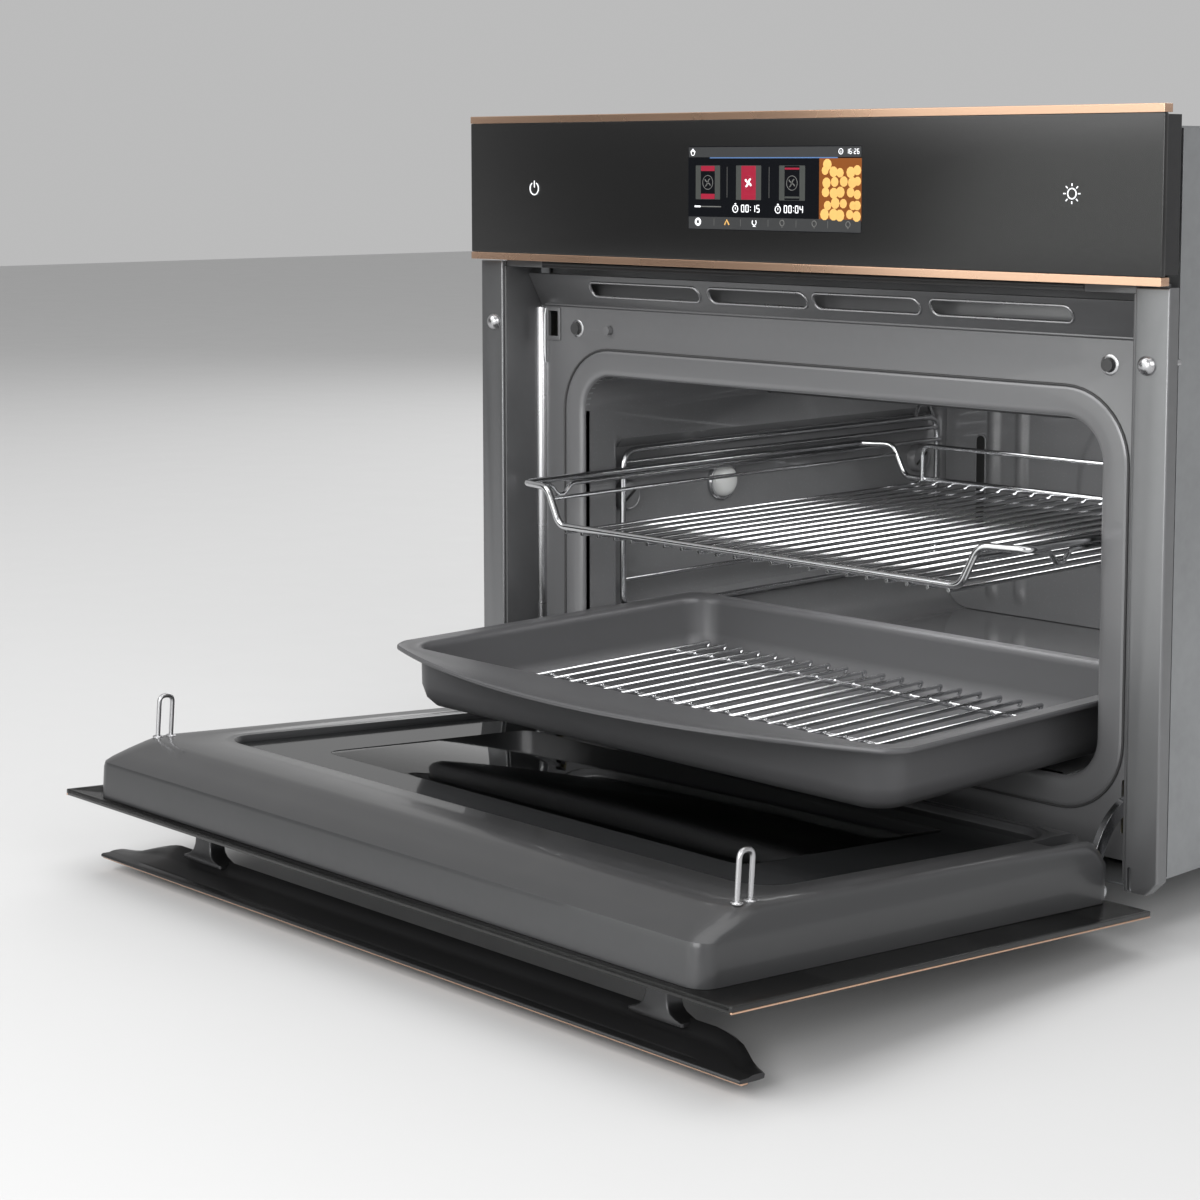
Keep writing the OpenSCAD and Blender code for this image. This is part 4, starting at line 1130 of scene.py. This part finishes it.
@dataclass
class Cavity:
    """Enamelled box with pressed side pockets, ribbed rear wall, side racks and lamp.

    Attributes:
        mouth: half width, half height, corner radius and centre height.
        front: depth where the box starts.
        baffle: depth of the rear wall's face.
        rear: depth of the box's real rear.
        pocket: depth of the side pockets.
        pocket_z: lowest and highest point of a pocket.
        pocket_y: front and rear of a pocket.
    """

    mouth: tuple[float, float, float, float] = (228.0, 111.0, 27.0, 162.0)
    front: float = 27.6
    baffle: float = 447.0
    rear: float = 479.0
    pocket: float = 11.0
    pocket_z: Flat = (89.0, 223.0)
    pocket_y: Flat = (58.0, 443.0)

    def build(self) -> None:
        """Makes and dresses every piece."""
        self._liner()
        self._rear_wall()
        for s, node in ((-1, "rack_left"), (1, "rack_right")):
            self._rack(s, node)
        self._caps()
        self._lamp()

    @staticmethod
    def _ramp(a: float, b: float, t: float) -> float:
        """Smooth step from 0 at a to 1 at b."""
        t = max(0.0, min(1.0, (t - a) / (b - a)))
        return t * t * (3 - 2 * t)

    def _bulge(self, y: float, z: float) -> float:
        """How far a side wall is pressed outwards at a point."""
        (z0, z1), (y0, y1) = self.pocket_z, self.pocket_y
        e = 9.0
        across = self._ramp(z0, z0 + e, z) * (1 - self._ramp(z1 - e, z1, z))
        along = self._ramp(y0, y0 + e, y) * (1 - self._ramp(y1 - e, y1, y))
        return self.pocket * across * along

    def _liner(self) -> None:
        """The box's walls, with one pocket pressed into each side."""
        hw, hh, r, cz = self.mouth
        ys = [
            self.front, 30, 45, 55, 58, 59.5, 61, 62.5, 64, 65.5, 67, 70, 90
        ] + list(range(110, 431, 20)) + [434, 436, 438, 440, 442, 444, 450, 465, self.rear]
        rings: list[list[Point]] = []
        for wall, order in ((0.0, ys), (1.1, list(reversed(ys)))):
            for y in order:
                ring = []
                for x, z in round_rect(hw + wall, hh + wall, r + wall, 0, cz, n=10, sides=44):
                    side = abs(x) > hw + wall - 0.01
                    ring.append((
                        x + math.copysign(self._bulge(y, z), x) if side else x,
                        y if wall == 0 else min(y, self.rear + 1.1), z
                    ))
                rings.append(ring)
        walls = Shape().loft(rings, loop=True).build("cavity_walls", 40)
        dress(walls, Finishes.enamel, Body.OVEN, "enamel", "cavity_liner")
        back = Shape().slab(
            round_rect(hw - 0.3, hh - 0.3, r, 0, cz, n=10), Axis.Y, self.rear - 1.2, self.rear - 0.1, 0.3
        )
        dress(back.build("cavity_rear_sheet"), Finishes.enamel, Body.OVEN, "enamel")

    def _relief(self, x: float, z: float) -> float:
        """How far the rear wall stands forward at a point."""
        lift = 0.0
        for rib in (-177.0, -148.0, 148.0, 177.0):
            d = abs(x - rib)
            if d < 6:
                lift = max(
                    lift,
                    3.4 * math.cos(d / 6 * math.pi / 2) ** 0.8 * self._ramp(
                        58, 74, z
                    ) * (1 - self._ramp(250, 266, z))
                )
        d = math.hypot(x, z - 162)
        lift += 2.3 * (1 - self._ramp(86, 94, d)) - 2.3 * (1 - self._ramp(56, 64, d))
        return lift

    def _rear_wall(self) -> None:
        """Ribbed wall in front of the fan, dished round the intake, with slots and a ring of holes in
        painted shade.
        """
        hw, hh, r, cz = 227.4, 110.4, 26.6, 162.0
        nx, nz = 228, 74
        front, rear = [], []
        for j in range(nz + 1):
            for i in range(nx + 1):
                x, z = self._inside(-hw + 2 * hw * i / nx, cz - hh + 2 * hh * j / nz, hw, hh, r, cz)
                front.append((x, self.baffle - self._relief(x, z), z))
                rear.append((x, self.baffle + 1.2, z))
        n, w = len(front), nx + 1
        starts = [j * w + i for j in range(nz) for i in range(nx)]
        quads = [(k, k + 1, k + w + 1, k + w) for k in starts]
        faces = quads + [tuple(n + k for k in reversed(q)) for q in quads]
        rim = [*range(w), *(j * w + nx for j in range(1, nz + 1))]
        rim += [*(nz * w + i for i in range(nx - 1, -1, -1)), *(j * w for j in range(nz - 1, 0, -1))]
        faces += [(a, n + a, n + b, b) for a, b in zip(rim, rim[1:] + rim[:1])]
        dress(
            Shape().add(front + rear, faces).build("ribbed_rear_wall", 50), Finishes.enamel, Body.OVEN,
            "enamel", "fan_baffle"
        )
        holes, rims = Shape(), Shape()
        y = self.baffle - 0.9
        for a in range(12):
            for radius, size in ((17.0, 3.4), (31.0, 5.2), (46.0, 6.0)):
                t = math.radians(30 * a + (15 if size < 6 else 0))
                x, z = radius * math.cos(t), 162 + radius * math.sin(t)
                holes.lathe(
                    [(size, y - 0.35), (size, y - 0.65), (size * 0.96, y - 0.7)], (x, 0, z), Axis.Y, 16
                )
                ring = [(x + size * math.cos(b), y - 0.5, z + size * math.sin(b)) for b in turns(16)]
                rims.tube(ring, 0.5, 6, closed=True)
        for cx, cz2, hx, hz in ((-95, 245, 30, 5), (95, 245, 30, 5), (-190, 160, 5, 40), (190, 160, 5, 40)):
            outline = round_rect(hx, hz, 4.4, cx, cz2, n=7)
            holes.slab(outline, Axis.Y, self.baffle - 0.9, self.baffle + 0.5, 0.2)
            rims.tube([(u, self.baffle - 0.8, v) for u, v in outline], 0.8, 8, closed=True)
        # painted shade: the holes and slots are dark discs and plates on the wall, not cut through it
        dress(holes.build("rear_wall_openings"), Finishes.painted_shade_black, Body.OVEN, "enamel")
        dress(rims.build("rear_wall_rims"), Finishes.enamel, Body.OVEN, "enamel")

    @staticmethod
    def _inside(x: float, z: float, hw: float, hh: float, r: float, cz: float) -> Flat:
        """Pulls a point of a grid into a rectangle with round corners."""
        dx, dz = abs(x) - (hw - r), abs(z - cz) - (hh - r)
        if dx <= 0 or dz <= 0:
            return x, z
        far, square = math.hypot(dx, dz), max(dx, dz)
        k = square / far if far else 1.0
        return math.copysign(hw - r + dx * k, x), cz + math.copysign(hh - r + dz * k, z - cz)

    def _rack(self, s: int, node: str) -> None:
        """One wire side rack: a bent outer loop and level wires whose ends turn to the wall."""
        x, inner = s * 228.0, s * 222.0
        y0, y1 = 66.0, 435.0
        loop = soften([(x, y0, 92.5), (x, y0, 214), (x, y1, 214), (x, y1, 92.5)], 14, 6, closed=True)
        shape = Shape().tube(loop, 2.4, 12, closed=True)
        for z in (117.0, 205.0):
            shape.tube([(x, y0, z), (x, y1, z)], 1.9, 12)
        for z in (94.2, 195.2):
            shape.tube(
                soften([(x, y0, z), (inner, y0 + 3, z), (inner, y1 - 3, z), (x, y1, z)], 3.0, 4), 1.9, 12
            )
        hump = [(x, y1 - d, z) for d, z in ((5, 214), (12, 226), (24, 226), (30, 214))]
        shape.tube(soften(hump, 5.0, 5), 1.7, 10)
        dress(shape.build("wire_" + node), Finishes.chrome, Body.OVEN, "chrome", node)

    def _caps(self) -> None:
        """Enamelled caps with a slot in painted shade, which hold the racks to the walls."""
        shape, slots = Shape(), Shape()
        for s in SIDES:
            for y in (78.0, 421.0):
                profile = [
                    (0.0, 239.0), (11.6, 239.0), (11.6, 235.0), (10.8, 233.4), (9.2, 232.6), (0.0, 232.6)
                ]
                shape.lathe([(r, s * w) for r, w in profile], (0, y, 179), Axis.X, 36)
                rim = [(0, y + 9.9 * math.cos(a), 179 + 9.9 * math.sin(a)) for a in turns(36)]
                shape.tube([(s * 232.8, b, c) for _, b, c in rim], 0.7, 8, closed=True)
                slots.tube([(s * 232.55, y - 6.4, 174.2), (s * 232.55, y + 6.4, 183.8)], 1.0, 8)
        dress(shape.build("rack_caps"), Finishes.enamel, Body.OVEN, "enamel", "rack_fixings")
        # painted shade: each slot is a dark bar laid on the cap
        dress(slots.build("rack_cap_slots"), Finishes.painted_shade_black, Body.OVEN, "enamel")

    def _lamp(self) -> None:
        """Ribbed glass dome in a bright ring."""
        dome = Shape()
        angles = [math.pi / 2 * k / 8 for k in range(1, 9)]
        profile = [(2.0, -238.8), (12.6, -238.8), (12.6, -235.5)]
        profile += [(12.6 * math.cos(a), -235.5 + 7.5 * math.sin(a)) for a in angles]
        dome.lathe(profile, (0, 183, 181), Axis.X, 40)
        dress(dome.build("lamp_dome"), Finishes.dome, Body.OVEN, "clear_glass", "lamp_lens")
        ring = Shape().lathe(
            [(12.9, -239.0), (15.6, -239.0), (15.6, -236.6), (14.4, -235.2), (12.9, -235.6)], (0, 183, 181),
            Axis.X, 40
        )
        dress(ring.build("lamp_ring"), Finishes.chrome, Body.OVEN, "chrome")


@dataclass
class WireShelf:
    """Bright wire shelf with raised rails, a lower floor and a rear guard.

    Attributes:
        rail: half width to the rails' middle.
        bend: half width where the floor ends.
        z: height of the rails.
        drop: how far the floor is lower.
        front: depth of the front bar.
        rear: depth of the rear bar.
        count: wires across the floor.
    """

    rail: float = 221.5
    bend: float = 177.5
    z: float = 200.0
    drop: float = 26.0
    front: float = -44.5
    rear: float = 342.5
    count: int = 22

    def build(self) -> None:
        """Makes and dresses every piece."""
        low, y0, y1 = self.z - self.drop, self.front, self.rear
        right = [(self.bend, y0, low), (self.bend + 13, y0 + 0.5, self.z), (self.rail, y0 + 7, self.z),
                 (self.rail, y1 - 14, self.z), (self.bend + 22, y1, self.z), (self.bend + 8, y1, low)]
        left = [(-x, y, z) for x, y, z in reversed(right)]
        shape = Shape().tube(soften(right + left, 7.0, 6, closed=True), 2.5, 14, closed=True)
        for s in SIDES:
            stop = [(y0 + 9, -0.5), (-14, -3.5), (-7, -11.5), (-1, -11.5), (6, -4.2), (y1 - 16, -4.2)]
            shape.tube(soften([(s * (self.rail - 1.2), y, self.z + d) for y, d in stop], 4.0, 5), 1.7, 10)
            shape.tube(
                [(s * (self.bend + 10), y0 + 1, self.z - 8), (s * (self.bend + 17.5), y1 - 1, self.z - 8)],
                1.5, 10
            )
        guard = self.bend - 12
        top = self.z + 1.5
        path = [
            (-guard, y1 - 3, low - 1), (-guard, y1 - 3, top), (guard, y1 - 3, top), (guard, y1 - 3, low - 1)
        ]
        shape.tube(soften(path, 8.0, 6), 1.9, 12)
        dress(shape.build("shelf_rails"), Finishes.chrome, Body.SHELF, "chrome", "shelf_frame")
        step = 2 * (self.bend - 8) / (self.count - 1)
        under = low - 2.5 - 1.1
        path = [
            (0, y0 - 1.6, under + 0.4), (0, y0 + 3, under), (0, y1 - 3, under),
            (0, y1 + 2.2, under + 3.5), (0, y1 + 1.5, low + 2.0),
        ]
        bar = Shape().tube(soften(path, 3.0, 4), 1.4, 10).build("bar")
        wires = RowTree.row(
            "shelf_floor_wires", bar, self.count, (-self.bend + 8, 0, 0), (step, 0, 0), Finishes.chrome
        )
        dress(wires, Finishes.chrome, Body.SHELF, "chrome", "shelf_wires")


@dataclass
class DeepTray:
    """Enamelled tray with a rolled rim that bows out in front, and its wire insert.

    Attributes:
        half: half width over the rim.
        body: half width of the drawn body.
        front: depth of the body's front wall.
        lip: depth of the middle of the bowed lip.
        rear: depth of the rim's rear edge.
        top: height of the rim.
        low: height of the underside.
    """

    half: float = 225.0
    body: float = 211.5
    front: float = -154.0
    lip: float = -207.7
    rear: float = 141.7
    top: float = 100.0
    low: float = 57.2

    def _ring(
            self, half: float, front: float, rear: float, r: float, bow: float, z: float, dip: float = 0.0
    ) -> list[Point]:
        """One outline of the tray, with its front edge bowed forward by a distance."""
        pts: list[Point] = []
        for x, y in round_rect(half, (rear - front) / 2, r, 0, (front + rear) / 2, n=10, sides=26):
            share = max(0.0, 1 - ((y - front) / max(r, 1.0))) if y < front + r else 0.0
            arc = bow * (1 - (x / half) ** 2) * min(1.0, share)
            pts.append((x, y - arc, z - dip * min(1.0, share) * (1 - (x / half) ** 4)))
        return pts

    def build(self) -> None:
        """Makes and dresses every piece."""
        b, f, r = self.body, self.front, self.rear - 8
        rim_f, bow, t, lo = self.front - 2.5, self.front - 2.5 - self.lip, self.top, self.low
        rows = (
            (b - 40, f + 50, r - 40, 8, 0, lo + 1.6),
            (b - 17, f + 17, r - 17, 12, 0, lo + 1.4),
            (b - 9, f + 9, r - 9, 16, 0, lo + 3.6),
            (b - 4.5, f + 4.5, r - 4.5, 19, 0, lo + 8.5),
            (b - 2.4, f + 2.4, r - 2.4, 20, 0, lo + 16),
            (b - 1.4, f + 1.4, r - 1.4, 21, 0, t - 6),
            (b - 0.9, f + 0.9, r - 0.9, 22, 0, t - 2.6),
            (b + 0.4, f - 0.4, r + 0.4, 22, 1, t - 0.9),
            (b + 2.4, f - 1.0, r + 2, 22, bow * 0.08, t - 0.3),
            (b + 6, rim_f + 0.6, r + 4.4, 19, bow * 0.45, t - 0.5, 1.5),
            (self.half - 4, rim_f, self.rear - 3, 15, bow * 0.86, t - 0.4, 1.0),
            (self.half - 1.2, rim_f, self.rear - 1, 13, bow * 0.97, t),
            (self.half - 0.2, rim_f, self.rear - 0.2, 12, bow * 0.995, t - 0.7),
            (self.half, rim_f, self.rear, 12, bow, t - 2.2),
            (self.half - 0.5, rim_f, self.rear - 0.5, 12, bow * 0.985, t - 3),
            (self.half - 1.6, rim_f, self.rear - 1.6, 12, bow * 0.96, t - 2.4),
            (b + 5, rim_f + 0.8, r + 4.4, 19, bow * 0.45, t - 2.0, 1.5),
            (b + 1.2, f - 0.4, r + 1, 22, 1, t - 2.6),
            (b, f, r, 22, 0, t - 5),
            (b - 0.6, f + 0.6, r - 0.6, 21, 0, lo + 16),
            (b - 3, f + 3, r - 3, 20, 0, lo + 7.5),
            (b - 8, f + 8, r - 8, 17, 0, lo + 2.2),
            (b - 17, f + 17, r - 17, 12, 0, lo),
            (b - 40, f + 50, r - 40, 8, 0, lo + 0.2),
        )
        rings = [self._ring(*row) for row in rows]
        dress(
            Shape().loft(rings).build("deep_tray", 40), Finishes.tray, Body.TRAY, "tray_enamel", "tray_pan"
        )
        self._insert()

    def _insert(self) -> None:
        """Wire insert: long wires over two cross bars that stand on short legs."""
        z, x, y0, y1, n = 71.0, 178.0, self.front + 40, self.rear - 34, 22
        path = [(0, y0 + 3, z - 3.2), (0, y0, z), (0, y1, z), (0, y1 - 3, z - 3.2)]
        bar = Shape().tube(soften(path, 2.5, 4), 1.5, 10).build("bar")
        wires = RowTree.row("insert_wires", bar, n, (-x, 0, 0), (2 * x / (n - 1), 0, 0), Finishes.chrome)
        dress(wires, Finishes.chrome, Body.TRAY, "chrome", "tray_grid")
        cross = Shape()
        for y in (y0 + 62, y1 - 34):
            cross.tube(
                soften(
                    [(-x - 6, y, 59.6), (-x - 6, y, z - 2.7), (x + 6, y, z - 2.7), (x + 6, y, 59.6)], 5, 5
                ),
                1.8, 12
            )
            for k in range(n):
                cx = -x + k * 2 * x / (n - 1)
                cross.lathe(
                    [(1.0, z - 3.6), (2.1, z - 2.8), (2.3, z - 1.2), (1.2, z - 0.2)], (cx, y, 0), Axis.Z, 10
                )
        dress(cross.build("insert_cross_bars"), Finishes.chrome, Body.TRAY, "chrome")


@dataclass
class Door:
    """Drop-down door, built closed and turned to where it rests.

    Attributes:
        half: half the width of the outer glass.
        low: lower edge of the outer glass.
        high: upper edge of the outer glass.
        glass: depth of the outer glass.
        inner: depth of the inner face.
        panel: half width of the inner panel.
        window: half width, lowest and highest point and corner radius of the window.
        clear: the same of its clear pane.
    """

    half: float = 298.5
    low: float = 1.0
    high: float = 355.0
    glass: float = -20.0
    inner: float = 21.0
    panel: float = 272.0
    window: tuple[float, float, float, float] = (240.0, 20.0, 274.0, 22.0)
    clear: tuple[float, float, float, float] = (188.0, 52.0, 232.0, 12.0)

    def build(self) -> None:
        """Makes and dresses every piece."""
        self._outer_glass()
        self._panel()
        self._window()
        self._hooks()

    def _outer_glass(self) -> None:
        """Outer glass with thin copper edges along both sides."""
        g = self.glass
        pane = Shape().box((-self.half + 1.4, g, self.low), (self.half - 1.4, g + 4, self.high), 0.5)
        pane = pane.box(
            (-self.half, g + 1.1, self.low), (self.half, g + 4, self.high), 0.5
        ).moved(open_door)
        dress(pane.build("outer_door_glass"), Finishes.glass, Body.DOOR, "black_glass", "door_glass")
        edges = Shape()
        for s in SIDES:
            a, b = sorted((s * (self.half - 1.4), s * self.half))
            edges.box((a, g, self.low), (b, g + 1.05, self.high), 0.3)
        dress(edges.moved(open_door).build("door_side_edges"), Finishes.copper, Body.DOOR, "copper")

    def _ring(self, hw: float, z0: float, z1: float, r: float, y: float) -> list[Point]:
        """One outline of the inner panel at a depth of the closed door."""
        return [(x, y, z) for x, z in round_rect(hw, (z1 - z0) / 2, r, 0, (z0 + z1) / 2, n=10)]

    def _panel(self) -> None:
        """Pressed inner panel: round sides, a broad slope at the free end and a stepped window seat."""
        p, n = self.panel, self.inner
        w, w0, w1, wr = self.window
        rows = (
            (p, 2, 350, 12, -15.8),
            (p, 2, 350, 12, 4.0),
            (p, 2, 349.6, 13, 7.0),
            (p - 0.4, 2.3, 346.5, 16, 9.6),
            (p - 1.0, 3.0, 337, 20, 14.0),
            (p - 2.6, 4.6, 328.5, 23, n - 3.2),
            (p - 5.0, 7.0, 324.0, 24, n - 1.0),
            (p - 8.5, 10.5, 320.0, 24, n),
            (w + 9, w0 - 6.5, w1 + 9, wr + 8, n),
            (w + 7.6, w0 - 5.4, w1 + 7.6, wr + 7, n - 0.7),
            (w + 4.2, w0 - 3.6, w1 + 4.2, wr + 4, n - 0.7),
            (w + 2.6, w0 - 2.4, w1 + 2.6, wr + 2.6, n - 1.0),
            (w + 0.8, w0 - 0.8, w1 + 0.8, wr + 0.8, n - 3.0),
            (w, w0, w1, wr, n - 5.0),
            (w, w0, w1, wr, -15.8),
        )
        rings = [self._ring(*row) for row in rows]
        panel = Shape().loft(rings, loop=True).moved(open_door).build("inner_door_panel", 28)
        tool = Shape()
        for s in SIDES:
            tool.slab(round_rect(8, 30, 2.5, s * 255, 24), Axis.Y, -17, 24, 0.1)
        dress(
            cut(panel, tool.moved(open_door).build("tool"), 28), Finishes.door, Body.DOOR, "steel",
            "door_panel"
        )

    def _window(self) -> None:
        """Inner glass: a black printed border round a clear pane."""
        w, w0, w1, wr = self.window
        c, c0, c1, cr = self.clear
        y0, y1 = 12.0, 16.0
        ring = self._ring
        rings = [ring(w + 5.6, w0 - 5.6, w1 + 5.6, wr + 5, y) for y in (y0, y1)]
        rings += [ring(c, c0, c1, cr, y) for y in (y1, y0)]
        border = Shape().loft(rings, loop=True).moved(open_door)
        dress(border.build("window_border"), Finishes.frit, Body.DOOR, "black_glass", "door_window")
        pane = Shape().slab(
            round_rect(c - 0.05, (c1 - c0) / 2 - 0.05, cr, 0, (c0 + c1) / 2, n=8), Axis.Y, y0, y1, 0.1
        ).moved(open_door)
        dress(pane.build("window_pane"), Finishes.window, Body.DOOR, "clear_glass")

    def _hooks(self) -> None:
        """Two bent wire loops on round grommets."""
        hooks, collars = Shape(), Shape()
        tip = self.inner + 26.8
        for s in SIDES:
            x = s * 259.0
            hooks.tube(soften([(x, 17, 303), (x, tip, 303), (x, tip, 313), (x, 17, 313)], 4.6, 6), 1.5, 14)
            for z in (303, 313):
                collars.lathe(
                    [(1.6, 20.6), (3.4, 20.6), (3.4, 21.3), (2.7, 21.9), (1.6, 21.9)], (x, 0, z), Axis.Y, 24
                )
        dress(
            hooks.moved(open_door).build("door_wire_loops"), Finishes.steel, Body.DOOR, "chrome",
            "door_hooks"
        )
        dress(collars.moved(open_door).build("loop_grommets"), Finishes.steel, Body.DOOR, "steel")


@dataclass
class Handle:
    """Flat handle with a dished back, pointed ends and two flared posts.

    Attributes:
        half: half the length.
        low: lower edge of the plate on the closed door.
        high: upper edge of the plate on the closed door.
        face: depth of the plate's outer face.
        post: half the distance between the posts.
    """

    half: float = 287.0
    low: float = 300.0
    high: float = 334.0
    face: float = -61.0
    post: float = 205.0

    def _section(self, x: float) -> list[Point]:
        """Cross-section of the bar at a place along it."""
        end = max(0.0, (abs(x) - (self.half - 46)) / 46)
        thick = 1 - min(1.0, end * 1.35) ** 1.4
        low = self.low + 15.5 * max(0.0, (end - 0.35) / 0.65)
        high, y = self.high, self.face
        back = [
            (low, 2.4), (low + 1.0, 3.2 + 8.6 * thick), (low + 3.2, 3.4 + 9.4 * thick),
            (low + 6.5, 3.4 + 7.6 * thick), (low + 9.5, 3.2 + 4.6 * thick), (low + 12.5, 3.0 + 2.2 * thick)
        ]
        top = [
            (high - 7.5, 2.8 + 0.5 * thick), (high - 6.5, 2.4), (high - 1.2, 2.3), (high - 0.3, 1.7),
            (high, 0.9), (high - 0.5, 0.1), (high - 5.5, 0.0), (low + 4, 0.0), (low + 0.6, 0.3)
        ]
        back = [(min(z, high - 8.5), d) for z, d in back]
        return [(x, y + d, z) for z, d in back + top]

    def build(self) -> None:
        """Makes and dresses every piece."""
        h = self.half
        xs = [
            -h, -h + 0.6, -h + 3, -h + 8, -h + 14, -h + 20, -h + 27, -h + 34, -h + 40, -h + 46, -h + 60,
            -180, -60
        ]
        xs += [-x for x in reversed(xs)]
        bar = Shape().loft([self._section(x) for x in xs]).moved(open_door)
        dress(bar.build("handle_plate", 38), Finishes.dark, Body.DOOR, "dark_metal", "handle_bar")
        posts = Shape()
        for s in SIDES:
            steps = [
                (-19.9, 8.5, 6.2), (-30, 8.2, 6.0), (-40, 8.6, 6.0), (-44, 10.0, 6.2), (-46.5, 12.5, 6.4),
                (-48.2, 16.5, 6.6), (-49.4, 20.0, 6.4), (-51.5, 20.5, 6.0)
            ]
            rings = [
                [(u, y, v) for u, v in round_rect(hw, hz, 1.8, s * self.post, 306.5, n=5)] for y, hw,
                hz in steps
            ]
            posts.loft(rings)
        dress(
            posts.moved(open_door).build("handle_stems"), Finishes.dark, Body.DOOR, "dark_metal",
            "handle_posts"
        )
        edge = Shape().box(
            (-h, self.face - 1.0, self.high - 6.4), (h, self.face + 0.2, self.high - 1.6), 0.3
        ).moved(open_door)
        dress(edge.build("handle_copper_line"), Finishes.copper, Body.DOOR, "copper", "handle_trim")


@dataclass
class Casing:
    """Outer sheets and inner parts that keep their CAD shape, and the screws that hold the sheets.

    Attributes:
        kept: finishes, each with the CAD nodes that keep their shape and get it.
    """

    kept: tuple[tuple[Finish, str], ...] = (
        (Finishes.zinc, "casing_left casing_right casing_top casing_rear casing_base"),
        (Finishes.zinc, "convection_motor cooling_rotor cooling_housing door_leaves"),
        (Finishes.steel, "cabinet_screws convection_fan temperature_probe cooling_motor"),
        (Finishes.chrome, "hinge_arm_left hinge_arm_right hinge_pins"),
        (Finishes.heater, "ring_heater grill_element bottom_element"),
        (Finishes.plastic, "panel_carrier display door_switch"),
        (Finishes.board, "touch_board power_board"),
        (Finishes.ceramic, "terminal_block lamp_socket"),
        (Finishes.rubber, "door_buffers"),
        (Finishes.frame, "switch_plunger"),
        (Finishes.wool, "insulation"),
        (Finishes.frit, "door_middle_glass"),
    )

    def build(self, nodes: dict[str, bpy.types.Object]) -> None:
        """Dresses the kept CAD nodes and adds the casing's screws.

        Args:
            nodes: the CAD nodes by name.
        """
        for finish, names in self.kept:
            for name in names.split():
                nodes[name].data.materials.clear()
                nodes[name].data.materials.append(finish.material())
                log.info("kept %s: %s", name, finish.name)
        self._screws()

    @staticmethod
    def _head(axis: Axis, way: float) -> bpy.types.Object:
        """One flanged screw head at the origin that stands out along an axis."""
        profile = [
            (0.0, 0.0), (4.6, 0.0), (4.6, 0.35), (3.4, 0.6), (3.2, 0.9), (2.0, 1.05), (1.2, 0.55),
            (0.0, 0.5)
        ]
        return Shape().lathe([(r, way * w) for r, w in profile], (0, 0, 0), axis, 16).build("head")

    def _screws(self) -> None:
        """Rows of screws along the top and the sides."""
        rows = (
            ("top_rear_screws", Axis.Z, 1.0, 7, (-258, 535, 447.9), (86, 0, 0)),
            ("top_front_screws", Axis.Z, 1.0, 7, (-258, 12, 447.9), (86, 0, 0)),
            ("left_side_screws", Axis.X, -1.0, 5, (-277.9, 70, 436), (0, 112, 0)),
            ("right_side_screws", Axis.X, 1.0, 5, (277.9, 70, 436), (0, 112, 0)),
        )
        for name, axis, way, count, start, step in rows:
            row = RowTree.row(name, self._head(axis, way), count, start, step, Finishes.chrome)
            dress(row, Finishes.chrome, Body.OVEN, "chrome")


def main() -> None:
    """Builds every sub-assembly."""
    logging.basicConfig(level=logging.INFO, format="%(name)s: %(message)s")
    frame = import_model()
    Studio().build()
    log.info("studio")
    for part in (Front(), ControlPanel(), Cavity(), WireShelf(), DeepTray(), Door(), Handle()):
        part.build()
        log.info("%s", type(part).__name__)
    Casing().build(frame["nodes"])
    log.info("Casing")


if __name__ == "__main__":
    main()
